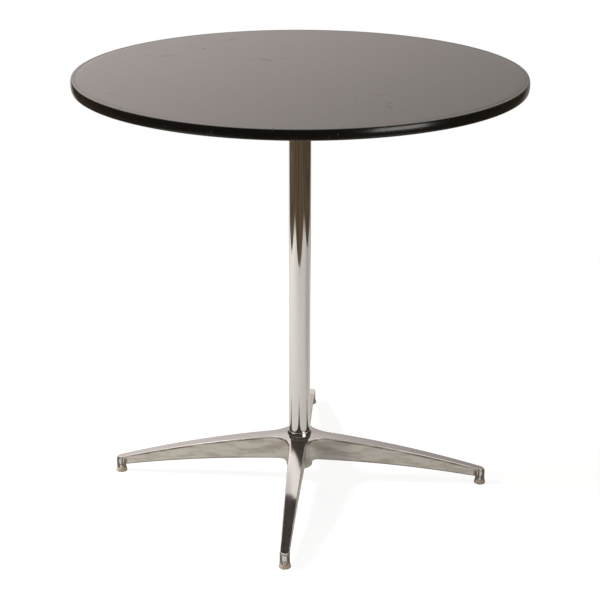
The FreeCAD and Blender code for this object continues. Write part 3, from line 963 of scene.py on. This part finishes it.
@dataclass
class Shape:
    """Points and faces of a mesh while it is put together from rings about an upright axis."""

    axis: tuple[float, float] = (0.0, 0.0)
    points: list[Triple] = field(default_factory=list)
    faces: list[tuple[int, ...]] = field(default_factory=list)

    def tip(self, height: float) -> list[int]:
        """Add one point on the axis and return it as a ring of one."""
        self.points.append((*self.axis, height))
        return [len(self.points) - 1]

    def ring(self, count: int, at: Callable[[float], tuple[float, float]]) -> list[int]:
        """Add a ring of points.

        Args:
            count: Number of points round the axis.
            at: Gives the radius and height at an angle.

        Returns:
            The numbers of the new points.
        """
        first = len(self.points)
        for step in range(count):
            angle = FULL_TURN * step / count
            radius, height = at(angle)
            self.points.append((self.axis[0] + radius * math.cos(angle),
                                self.axis[1] + radius * math.sin(angle), height))
        return list(range(first, first + count))

    def level_ring(self, count: int, radius: float, height: float) -> list[int]:
        """Add a ring with one radius and height, or a tip for a radius of 0, and return it."""
        return self.ring(count, lambda angle: (radius, height)) if radius else self.tip(height)

    def bridge(self, lower: list[int], upper: list[int]) -> None:
        """Join two rings with quads, or a ring and a tip with triangles.

        Args:
            lower: The first ring.
            upper: The second ring.
        """
        count = max(len(lower), len(upper))
        for here in range(count):
            there = (here + 1) % count
            if len(lower) == 1:
                self.faces.append((lower[0], upper[there], upper[here]))
            elif len(upper) == 1:
                self.faces.append((lower[here], lower[there], upper[0]))
            else:
                self.faces.append((lower[here], lower[there], upper[there], upper[here]))

    def chain(self, rings: Sequence[list[int]], closed: bool = False) -> None:
        """Join rings one after another.

        Args:
            rings: The rings in order.
            closed: Whether the last joins the first.
        """
        for lower, upper in zip(rings, rings[1:]):
            self.bridge(lower, upper)
        if closed:
            self.bridge(rings[-1], rings[0])

    def lathe(self, profile: Profile, count: int, closed: bool = False) -> None:
        """Turn a profile about the axis.

        Args:
            profile: Radius and height of each corner, anticlockwise; a radius of 0 is a tip.
            count: Number of points round the axis.
            closed: Whether the last corner joins the first, as in a ring.
        """
        self.chain([self.level_ring(count, *corner) for corner in profile], closed)

    def to_object(self, name: str) -> bpy.types.Object:
        """Put this shape into the scene, smooth but for its sharp edges.

        Args:
            name: The object's name.

        Returns:
            The object.
        """
        made = new_object(name, self.points, self.faces)
        made.data.set_sharp_from_angle(angle=SHARP_ANGLE)
        made.data.validate()
        return made


@dataclass(frozen=True)
class Thread:
    """A screw thread: its outer radius, its pitch and its depth."""

    radius: float
    pitch: float
    depth: float
    crest_share: float = 0.2
    rows_per_turn: int = 10

    def radius_at(self, angle: float, height: float) -> float:
        """Work out the thread's radius.

        Args:
            angle: Angle round the axis.
            height: Height along it.

        Returns:
            The radius there.
        """
        phase = (height / self.pitch - angle / FULL_TURN) % 1
        rise = abs(2 * phase - 1) * (1 + self.crest_share)
        return self.radius - self.depth * (1 - min(1.0, rise))

    def heights(self, bottom: float, top: float) -> list[float]:
        """Return heights from bottom to top, close enough to show each turn."""
        rows = max(2, round((top - bottom) / self.pitch * self.rows_per_turn))
        return [bottom + (top - bottom) * row / rows for row in range(rows + 1)]

    def rings(self, shape: Shape, bottom: float, top: float, count: int,
              limit: Callable[[float], float]) -> list[list[int]]:
        """Add the thread's rings to a shape.

        Args:
            shape: The shape that gets the rings.
            bottom: Height of the first ring.
            top: Height of the last ring.
            count: Number of points in each ring.
            limit: Largest radius allowed at a height, which makes chamfers and points.

        Returns:
            The rings from bottom to top.
        """
        return [shape.ring(count, lambda angle, z=height: (min(self.radius_at(angle, z), limit(z)), z))
                for height in self.heights(bottom, top)]


@dataclass(frozen=True)
class Piece:
    """A built mesh with its finish, the body that it rides on and the node that it stands for."""

    shape: bpy.types.Object
    finish: Finish
    body: str
    node: str

    def dress(self) -> None:
        """Give the piece its finish, hang it on its body and hide the node behind it."""
        self.shape.data.materials.append(self.finish.material())
        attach(self.shape, self.body)
        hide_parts(self.node)
        LOG.info("%s rides on %s in %s", self.shape.name, self.body, self.finish.slot.value)


def dress_node(name: str, finish: Finish) -> None:
    """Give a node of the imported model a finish.

    Args:
        name: The node's name.
        finish: The finish that it gets.
    """
    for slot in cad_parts[name].material_slots:
        slot.material = finish.material()
    LOG.info("%s keeps its shape, in %s", name, finish.slot.value)


@dataclass
class SubAssembly:
    """A sub-assembly: the body it rides on, its kept nodes with their finishes, and new pieces."""

    body: str
    kept_nodes: tuple[tuple[str, Finish], ...]
    pieces: list[Piece] = field(default_factory=list)

    def build(self) -> None:
        """Build the new pieces."""
        raise NotImplementedError

    def dress(self) -> None:
        """Dress the new pieces, and the nodes that keep their shape."""
        for piece in self.pieces:
            piece.dress()
        for name, finish in self.kept_nodes:
            dress_node(name, finish)


@dataclass
class TableTop(SubAssembly):
    """The laminated panel with its edge moulding, and the spider screwed under it."""

    body: str = "top"
    kept_nodes: tuple[tuple[str, Finish], ...] = (
        ("top_core", ParticleBoard()), ("backing_laminate", BackingSheet()),
        ("top_spider", SandCastAluminium()))
    rim_points: int = 256
    sheet_rings: tuple[float, ...] = (0.15, 0.4, 0.65, 0.85, 0.97)
    sheet_ease: float = 0.45 * MM
    sheet_ease_steps: int = 5
    crown: float = 1.2 * MM
    crown_steps: int = 14
    edge_round: float = 1.6 * MM
    edge_round_steps: int = 8
    lip_ease: float = 0.35 * MM
    lip_ease_steps: int = 4
    tongue_reach: float = 10.0 * MM
    tongue_half: float = 1.2 * MM
    tongue_tip_half: float = 0.6 * MM
    screw_thread: Thread = Thread(radius=2.3 * MM, pitch=1.8 * MM, depth=0.75 * MM)
    screw_points: int = 32
    screw_head_flat: float = 0.4 * MM
    screw_head_radius: float = 4.5 * MM
    screw_tip: float = 3.0 * MM
    # How much of the tip the thread leaves out, and its radius where it ends
    screw_tip_cut: float = 0.1
    screw_tip_radius: float = 0.15 * MM
    recess_reach: float = 2.5 * MM
    recess_half_width: float = 0.55 * MM
    recess_depth: float = 1.6 * MM
    # How much shallower the recess is at its reach, and how far its rings go past that
    recess_rise: float = 0.55
    recess_margin: float = 1.15
    recess_rings: int = 14
    screw_circle: float = 113.0 * MM
    screw_half_spacing: float = 8.0 * MM

    def build(self) -> None:
        """Build the top sheet, the moulding and the screws."""
        self.pieces = [
            Piece(self.top_sheet(), BlackLaminate(), self.body, "top_laminate"),
            Piece(self.moulding(), BlackVinyl(), self.body, "edge_moulding"),
            Piece(self.screws(), ZincSteel(), self.body, "spider_screws")]

    def top_sheet(self) -> bpy.types.Object:
        """Build the laminate's face sheet, a disc whose rim is eased by hand.

        Returns:
            The sheet.
        """
        low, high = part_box("top_laminate")
        radius, ease = high.x, self.sheet_ease
        inner = [(radius * share, high.z) for share in reversed(self.sheet_rings)]
        rim = arc((radius - ease, high.z - ease), ease, 0, 90, self.sheet_ease_steps)
        shape = Shape()
        shape.lathe([(0, low.z), (radius, low.z), *rim, *inner, (0, high.z)], self.rim_points)
        return shape.to_object("top_face_sheet")

    def moulding(self) -> bpy.types.Object:
        """Build the edge moulding: a crowned band with round corners and a tongue in the groove.

        Returns:
            The moulding.
        """
        low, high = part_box("edge_moulding")
        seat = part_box("top_core")[1].x
        middle, half = (low.z + high.z) / 2, (high.z - low.z) / 2
        bow = (half ** 2 + self.crown ** 2) / (2 * self.crown)
        centre = high.x - bow
        edge, edge_steps = self.edge_round, self.edge_round_steps
        lean = math.asin((half - edge) / (bow - edge))
        corner = centre + (bow - edge) * math.cos(lean)
        reach = math.degrees(lean)
        crown = [*arc((corner, low.z + edge), edge, -90, -reach, edge_steps),
                 *arc((centre, middle), bow, -reach, reach, self.crown_steps)[1:-1],
                 *arc((corner, high.z - edge), edge, reach, 90, edge_steps)]
        lip, lip_steps = self.lip_ease, self.lip_ease_steps
        lip_low = arc((seat + lip, low.z + lip), lip, 180, 270, lip_steps)
        lip_high = arc((seat + lip, high.z - lip), lip, 90, 180, lip_steps)
        tip = seat - self.tongue_reach
        shape = Shape()
        shape.lathe([*lip_low, *crown, *lip_high,
                     (seat, middle + self.tongue_half), (tip, middle + self.tongue_tip_half),
                     (tip, middle - self.tongue_tip_half), (seat, middle - self.tongue_half)],
                    self.rim_points, closed=True)
        return shape.to_object("edge_moulding_band")

    def screws(self) -> bpy.types.Object:
        """Build the eight countersunk wood screws as one piece.

        Returns:
            The screws.
        """
        low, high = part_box("spider_screws")
        whole = Shape()
        for quarter in range(4):
            turn = Matrix.Rotation(quarter * FULL_TURN / 4, 2)
            for side in (-1, 1):
                whole.axis = tuple(turn @ Vector((self.screw_circle, side * self.screw_half_spacing)))
                self.add_screw(whole, low.z, high.z)
        return whole.to_object("spider_screw_set")

    def add_screw(self, shape: Shape, bottom: float, top: float) -> None:
        """Add one screw, head down, on the shape's axis.

        Args:
            shape: The shape that gets the screw.
            bottom: Height of the head's face.
            top: Height of the point.
        """
        count, head, flat = self.screw_points, self.screw_head_radius, self.screw_head_flat
        shank = self.screw_thread.radius
        rings = [shape.tip(bottom + self.recess_depth)]
        for number in range(1, self.recess_rings + 1):
            radius = self.recess_reach * self.recess_margin * number / self.recess_rings
            rings.append(shape.ring(
                count, lambda angle, r=radius: (r, bottom + self.recess_at(r, angle))))
        rings += [shape.level_ring(count, radius, bottom + rise)
                  for radius, rise in ((head - flat, 0.0), (head, flat / 2), (head, flat))]
        rings += self.screw_thread.rings(
            shape, bottom + flat + head - shank, top - self.screw_tip * self.screw_tip_cut, count,
            lambda z: max(self.screw_tip_radius, min(shank, (top - z) / self.screw_tip * shank)))
        shape.chain([*rings, shape.tip(top)])

    def recess_at(self, radius: float, angle: float) -> float:
        """Work out the depth of the cross recess at a point of the head's face.

        Args:
            radius: The point's distance from the screw's axis.
            angle: Its angle round the axis.

        Returns:
            The depth there.
        """
        narrow = min(abs(radius * math.cos(angle)), abs(radius * math.sin(angle)))
        inside = narrow < self.recess_half_width and radius < self.recess_reach
        rise = self.recess_rise * radius / self.recess_reach
        return self.recess_depth * (1 - rise) if inside else 0.0


@dataclass
class Column(SubAssembly):
    """The chromed tube with the plugs and threaded studs in its ends."""

    body: str = "column"
    kept_nodes: tuple[tuple[str, Finish], ...] = (
        ("upper_end_plug", TurnedSteel()), ("lower_end_plug", TurnedSteel()))
    tube_points: int = 160
    tube_ease: float = 0.4 * MM
    tube_ease_steps: int = 3
    tube_wall: float = 1.6 * MM
    tube_spans: int = 24
    stud_points: int = 64
    stud_thread: Thread = Thread(radius=9.5 * MM, pitch=2.54 * MM, depth=1.5 * MM)
    stud_chamfer: float = 1.5 * MM

    def build(self) -> None:
        """Build the tube and the studs."""
        self.pieces = [
            Piece(self.tube(), Chrome(), self.body, "column_tube"),
            *[Piece(self.stud(end), ZincSteel(), self.body, end)
              for end in ("upper_stud", "lower_stud")]]

    def tube(self) -> bpy.types.Object:
        """Build the tube with its bore and eased ends.

        Returns:
            The tube.
        """
        low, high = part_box("column_tube")
        outer, ease = high.x, self.tube_ease
        step = (high.z - low.z - 2 * ease) / self.tube_spans
        wall = [(outer, low.z + ease + step * span) for span in range(1, self.tube_spans)]
        inside, outside = outer - self.tube_wall + ease, outer - ease
        below, above = low.z + ease, high.z - ease
        corners = [arc(centre, ease, start, start + 90, self.tube_ease_steps)
                   for centre, start in (((inside, below), 180), ((outside, below), 270),
                                         ((outside, above), 0), ((inside, above), 90))]
        shape = Shape()
        shape.lathe([*corners[0], *corners[1], *wall, *corners[2], *corners[3]], self.tube_points,
                    closed=True)
        return shape.to_object("column_chromed_tube")

    def stud(self, node: str) -> bpy.types.Object:
        """Build a stud with its real thread.

        Args:
            node: Name of the stud's node, which gives its place.

        Returns:
            The threaded stud.
        """
        low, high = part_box(node)
        shape = Shape()
        blunt = self.stud_thread.radius - self.stud_chamfer
        body = self.stud_thread.rings(
            shape, low.z, high.z, self.stud_points,
            lambda z: blunt + min(z - low.z, high.z - z, self.stud_chamfer))
        shape.chain([shape.tip(low.z), *body, shape.tip(high.z)])
        return shape.to_object(node + "_threaded")


@dataclass
class Base(SubAssembly):
    """The cast base with its four levelling glides."""

    body: str = "base"
    kept_nodes: tuple[tuple[str, Finish], ...] = (("base_casting", PolishedAluminium()),)
    pad_points: int = 64
    sole_round: float = 1.7 * MM
    sole_steps: int = 8
    crown_inset: float = 1.1 * MM
    crown_round: float = 1.1 * MM
    # Angle in degrees where the pad's side runs into its rounded crown
    crown_from: float = 30.0
    crown_steps: int = 5
    pad_floor: float = 2.4 * MM
    stem_points: int = 48
    stem_thread: Thread = Thread(radius=4.0 * MM, pitch=1.25 * MM, depth=0.75 * MM)
    stem_chamfer: float = 0.8 * MM
    stem_head: float = 2.4 * MM
    stem_head_ease: float = 0.3 * MM
    stem_ease_steps: int = 3
    swivel_clearance: float = 0.1 * MM

    def build(self) -> None:
        """Build the glides' pads and stems."""
        for side in Side:
            pad, stem = f"glide_pad_{side.value}", f"glide_stem_{side.value}"
            self.pieces.append(Piece(self.pad(pad, stem), Nylon(), f"glide_{side.value}", pad))
            self.pieces.append(Piece(self.stem(stem), ZincSteel(), f"stem_{side.value}", stem))

    def pad(self, node: str, stem: str) -> bpy.types.Object:
        """Build a glide's pad: a rounded foot with the swivel's cavity in it.

        Args:
            node: Name of the pad's node.
            stem: Name of the stem's node, whose head the cavity holds.

        Returns:
            The moulded pad.
        """
        low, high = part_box(node)
        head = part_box(stem)[1].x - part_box(stem)[0].x
        radius = (high.x - low.x) / 2
        cavity = head / 2 + self.swivel_clearance
        hole = self.stem_thread.radius + self.swivel_clearance
        ceiling = self.pad_floor + self.stem_head + 2 * self.swivel_clearance
        shoulder = radius - self.crown_inset - self.crown_round
        sole = arc((radius - self.sole_round, low.z + self.sole_round), self.sole_round, 270, 360,
                   self.sole_steps)
        crown = arc((shoulder, high.z - self.crown_round), self.crown_round, self.crown_from, 90,
                    self.crown_steps)
        shape = Shape(axis=((low.x + high.x) / 2, (low.y + high.y) / 2))
        shape.lathe([(0, low.z), *sole, *crown, (hole, high.z), (hole, ceiling), (cavity, ceiling),
                     (cavity, self.pad_floor), (0, self.pad_floor)], self.pad_points)
        return shape.to_object(node + "_moulded")

    def stem(self, node: str) -> bpy.types.Object:
        """Build a glide's stem: a swivel head and a real thread.

        Args:
            node: Name of the stem's node.

        Returns:
            The threaded stem.
        """
        low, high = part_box(node)
        head, ease, steps = (high.x - low.x) / 2, self.stem_head_ease, self.stem_ease_steps
        neck = low.z + self.stem_head
        blunt = self.stem_thread.radius - self.stem_chamfer
        shape = Shape(axis=((low.x + high.x) / 2, (low.y + high.y) / 2))
        corners = [(0, low.z), *arc((head - ease, low.z + ease), ease, 270, 360, steps),
                   *arc((head - ease, neck - ease), ease, 0, 90, steps)]
        rings = [shape.level_ring(self.stem_points, *corner) for corner in corners]
        rings += self.stem_thread.rings(
            shape, neck, high.z, self.stem_points,
            lambda z: blunt + min(high.z - z, self.stem_chamfer))
        shape.chain([*rings, shape.tip(high.z)])
        return shape.to_object(node + "_threaded")


@dataclass(frozen=True)
class Softbox:
    """A soft rectangular lamp."""

    name: str
    place: Triple
    aim: Triple
    width: float
    height: float
    power: float
    colour: str
    mirrored: bool = True

    def build(self) -> None:
        """Hang the lamp and turn it to its aim."""
        lamp = bpy.data.lights.new(self.name, "AREA")
        lamp.shape = "RECTANGLE"
        lamp.size, lamp.size_y = self.width, self.height
        lamp.energy = self.power
        lamp.color = linear(self.colour)[:3]
        box = bpy.data.objects.new(self.name, lamp)
        box.location = self.place
        box.rotation_euler = (Vector(self.aim) - Vector(self.place)).to_track_quat("-Z", "Y").to_euler()
        box.visible_camera = False
        box.visible_glossy = self.mirrored
        bpy.context.scene.collection.objects.link(box)


@dataclass
class Studio:
    """White paper on a brown floor, a backdrop behind the table, a glowing ceiling and softboxes.

    The camera sees white all round. In the metal one sees the paper end and the boards begin.
    """

    floor_half: float = 40.0
    paper_left: float = -1.31
    paper_right: float = 1.35
    paper_front: float = -1.20
    paper_blur: float = 0.02
    paper_reach: float = 1.64
    paper_fade: float = 0.2
    shadow_near: float = 0.75
    shadow_far: float = 1.5
    seen_glow: float = 0.9
    seen_shade: float = 0.22
    paper_glow_share: float = 0.36
    boards_glow_share: float = 0.7
    paper: str = "#f5f4f1"
    boards_dark: str = "#56493e"
    boards_light: str = "#7b6852"
    planks: Pattern = Pattern((300.0, 6000.0, ENDLESS), 1.0, (0.3, 0.7))
    bright_side: float = 0.85
    dim_side: float = 0.95
    boards_level: float = 0.85
    backdrop_left: float = 1.34
    backdrop_right: float = 0.38
    # Height and level of the backdrop's light, from its foot to its upper part
    backdrop_levels: tuple[Span, ...] = (
        (0.1, 0.78), (0.95, 0.78), (1.03, 1.0), (1.4, 1.0), (1.85, 1.7), (2.0, 1.5), (2.2, 1.15),
        (2.4, 1.0), (2.9, 0.95))
    wall_edge: float = -2.4
    wall_foot: float = 1.5
    backdrop_bend: float = 0.9
    backdrop_place: float = 1.9
    backdrop_height: float = 3.0
    backdrop_steps: int = 16
    backdrop_tint: str = "#f8ede8"
    # Colour of the ceiling's own glow, a painted reflection seen only in reflections
    ceiling: str = "#f6f1ec"
    ceiling_strength: float = 2.0
    ceiling_height: float = 2.8
    ceiling_middle: tuple[float, float] = (-0.35, 0.0)
    ceiling_radius: float = 2.76
    ceiling_points: int = 64
    room: str = "#59524c"
    room_strength: float = 1.0
    softboxes: tuple[Softbox, ...] = (
        Softbox("overhead_softbox", (-0.5, -0.3, 2.7), (0, 0, 0), 1.8, 1.8, 25.0, "#fffdf9"),
        Softbox("left_softbox", (-2.25, -0.15, 2.2), (0, 0, 0.2), 0.5, 0.5, 77.0, "#fffbf5",
                mirrored=False),
        Softbox("right_softbox", (1.70, -1.50, 0.66), (0.15, -0.35, 0.75), 1.0, 0.5, 7.5, "#fffaf3"),
    )

    def build(self) -> None:
        """Build the floor, the backdrop, the ceiling, the lamps and the surroundings."""
        self.floor()
        self.backdrop()
        self.glowing_ceiling()
        for softbox in self.softboxes:
            softbox.build()
        self.surroundings()

    def stage_object(self, name: str, points: list[Triple], faces: list[tuple[int, ...]],
                     material: bpy.types.Material) -> bpy.types.Object:
        """Put an object of the stage into the scene.

        Args:
            name: The object's name.
            points: Its points.
            faces: Its faces.
            material: Its material.

        Returns:
            The object.
        """
        made = new_object(name, points, faces)
        made.data.materials.append(material)
        return made

    def paint(self, name: str) -> tuple[bpy.types.Material, Nodes]:
        """Make a stage material, whose own light is met by chance and not sought out.

        Args:
            name: The material's name.

        Returns:
            The material and its emptied nodes.
        """
        material = bpy.data.materials.new(name)
        nodes = empty_nodes(material)
        material.cycles.emission_sampling = "NONE"
        return material, nodes

    def glow(self, nodes: Nodes, tint: Tint, left: float, right: float,
             levels: Sequence[Span] = ()) -> Socket:
        """Add paper that shines by itself, at one level on the left and another on the right.

        Args:
            nodes: The stage material's nodes.
            tint: The paper's colour.
            left: Strength at the paper's left edge.
            right: Strength at its right edge.
            levels: Heights, and the share of the strength that each of them has.

        Returns:
            The shader's output.
        """
        x, _, height = nodes.split(add_node(nodes.tree, "ShaderNodeNewGeometry").outputs["Position"])
        level = nodes.ramp(x, (self.paper_left, self.paper_right), (left, right))
        if levels:
            highest, strongest = levels[-1][0], max(share for _, share in levels)
            rise = nodes.math("DIVIDE", height, highest)
            ramp = add_node(nodes.tree, "ShaderNodeValToRGB", {0: rise})
            stops = ramp.color_ramp.elements
            while len(stops) < len(levels):
                stops.new(1.0)
            for stop, (stop_height, share) in zip(stops, levels):
                stop.position = stop_height / highest
                stop.color = (share / strongest,) * 3 + (1.0,)
            level = nodes.math("MULTIPLY", nodes.math("MULTIPLY", level, strongest), ramp.outputs[0])
        return nodes.shine(tint, level)

    def mirrored(self, nodes: Nodes, tint: Tint, own: float, left: float, right: float) -> Socket:
        """Add a floor covering as metal sees it, with part of its light its own.

        Args:
            nodes: The floor material's nodes.
            tint: The covering's colour.
            own: The share of its light that is its own.
            left: Level of its own light on the left.
            right: Level of its own light on the right.

        Returns:
            The shader's output.
        """
        return nodes.blend(own, nodes.matt(tint), self.glow(nodes, tint, left, right))

    def on_paper(self, nodes: Nodes, place: Socket, away: Socket) -> Socket:
        """Add where the floor is covered with paper.

        Args:
            nodes: The floor material's nodes.
            place: The place on the floor.
            away: How far it lies from the table's middle.

        Returns:
            The share of paper, from 0 to 1.
        """
        x, y, _ = nodes.split(place)
        blur = self.paper_blur / 2
        edges = [nodes.ramp(axis, (edge - sign * blur, edge + sign * blur))
                 for axis, edge, sign in ((x, self.paper_left, 1), (x, self.paper_right, -1),
                                          (y, self.paper_front, 1))]
        corner = nodes.ramp(away, (self.paper_reach, self.paper_reach - self.paper_fade))
        return nodes.product([*edges, corner])

    def seen_floor(self, nodes: Nodes, away: Socket) -> Socket:
        """Add the floor as the camera sees it: white, with the table's faint shadow near it.

        Args:
            nodes: The floor material's nodes.
            away: How far the place lies from the table's middle.

        Returns:
            The shader's output.
        """
        far = nodes.ramp(away, (self.shadow_near, self.shadow_far), smooth=True)
        near = add_node(nodes.tree, "ShaderNodeAddShader", {
            0: nodes.shine(WHITE, self.seen_glow), 1: nodes.matt((self.seen_shade,) * 3 + (1.0,))})
        return nodes.blend(far, near.outputs[0], nodes.shine(WHITE, 1.0))

    def floor(self) -> None:
        """Build the floor: paper round the table, boards beyond it in reflections only."""
        material, nodes = self.paint("floor_paper")
        light = add_node(nodes.tree, "ShaderNodeLightPath").outputs
        place = add_node(nodes.tree, "ShaderNodeNewGeometry").outputs["Position"]
        away = nodes.vector("LENGTH", place)
        planks = nodes.mix(self.planks.share(nodes, place), self.boards_dark, self.boards_light)
        boards = self.mirrored(nodes, planks, self.boards_glow_share, self.boards_level,
                               self.boards_level)
        paper = self.mirrored(nodes, self.paper, self.paper_glow_share, self.bright_side, self.dim_side)
        mirrored = nodes.blend(self.on_paper(nodes, place, away), boards, paper)
        bounced = nodes.blend(light["Is Glossy Ray"], nodes.matt(self.paper), mirrored)
        nodes.show(nodes.blend(light["Is Camera Ray"], bounced, self.seen_floor(nodes, away)))
        half = self.floor_half
        self.stage_object("floor", [(-half, -half, 0), (half, -half, 0), (half, half, 0),
                                    (-half, half, 0)], [(0, 1, 2, 3)], material)

    def backdrop(self) -> None:
        """Build the paper that sweeps up behind the table, which only shows in reflections."""
        bend, back, steps = self.backdrop_bend, self.backdrop_place, self.backdrop_steps
        angles = [math.pi / 2 * step / steps for step in range(steps + 1)]
        line = [(back - bend + bend * math.sin(a), bend - bend * math.cos(a)) for a in angles]
        line.append((back, self.backdrop_height))
        points = [(x, y, z) for y, z in line for x in (self.paper_left, self.paper_right)]
        faces = [(2 * i, 2 * i + 1, 2 * i + 3, 2 * i + 2) for i in range(len(line) - 1)]
        faces.append(tuple(len(points) + corner for corner in (0, 1, 3, 2)))
        points += [(x, back, z) for z in (self.wall_foot, self.backdrop_height)
                   for x in (self.wall_edge, self.paper_left)]
        material, nodes = self.paint("backdrop_paper")
        glow = self.glow(nodes, self.backdrop_tint, self.backdrop_left, self.backdrop_right,
                         self.backdrop_levels)
        glossy = add_node(nodes.tree, "ShaderNodeLightPath").outputs["Is Glossy Ray"]
        nodes.show(nodes.blend(glossy, nodes.matt(self.backdrop_tint), glow))
        made = self.stage_object("backdrop", points, faces, material)
        made.visible_camera = made.visible_shadow = False

    def glowing_ceiling(self) -> None:
        """Build the round ceiling over the table: a glowing panel that only shows in reflections."""
        material, nodes = self.paint("ceiling_glow")
        # The ceiling glows with its own light, a painted reflection for the metal
        nodes.show(nodes.shine(self.ceiling, self.ceiling_strength))
        rim = arc(self.ceiling_middle, self.ceiling_radius, 0, 360, self.ceiling_points)[1:]
        made = self.stage_object("ceiling", [(x, y, self.ceiling_height) for x, y in rim],
                                 [tuple(range(len(rim)))], material)
        made.visible_camera = made.visible_diffuse = made.visible_shadow = False

    def surroundings(self) -> None:
        """Make the world white to the camera and a dim room to everything else."""
        world = bpy.data.worlds.new("studio")
        nodes = empty_nodes(world)
        room, white = (
            add_node(nodes.tree, "ShaderNodeBackground", {
                "Color": tint, "Strength": strength}).outputs[0]
            for tint, strength in ((self.room, self.room_strength), (WHITE, 1.0)))
        camera = add_node(nodes.tree, "ShaderNodeLightPath").outputs["Is Camera Ray"]
        nodes.show(nodes.blend(camera, room, white), "ShaderNodeOutputWorld")
        bpy.context.scene.world = world


@dataclass
class PhotoCamera:
    """The camera of the photograph: where it stands and how it is turned."""

    distance: float = 2.601
    height: float = 1.317
    heading: float = math.radians(4.10)
    aim_off: float = math.radians(-0.010)
    pitch: float = math.radians(20.491)
    roll: float = math.radians(0.133)
    lens_mm: float = 94.70
    sensor_mm: float = 36.0

    def build(self) -> None:
        """Set the camera up and make it the scene's own."""
        data = bpy.data.cameras.new("photo_camera")
        data.sensor_fit = "HORIZONTAL"
        data.sensor_width = self.sensor_mm
        data.lens = self.lens_mm
        camera = bpy.data.objects.new("photo_camera", data)
        turn = Matrix.Rotation(self.heading + self.aim_off, 4, "Z")
        tilt = Matrix.Rotation(math.pi / 2 - self.pitch, 4, "X")
        stand = Vector((math.sin(self.heading), -math.cos(self.heading), 0)) * self.distance
        stand.z = self.height
        roll = Matrix.Rotation(self.roll, 4, "Z")
        camera.matrix_world = Matrix.Translation(stand) @ turn @ tilt @ roll
        bpy.context.scene.collection.objects.link(camera)
        bpy.context.scene.camera = camera


def main() -> None:
    """Build the table, the studio and the camera."""
    logging.basicConfig(level=logging.INFO, format="%(name)s: %(message)s")
    bpy.context.scene.view_settings.view_transform = "Standard"
    for part in (TableTop(), Column(), Base()):
        part.build()
        part.dress()
    Studio().build()
    PhotoCamera().build()


if __name__ == "__main__":
    main()
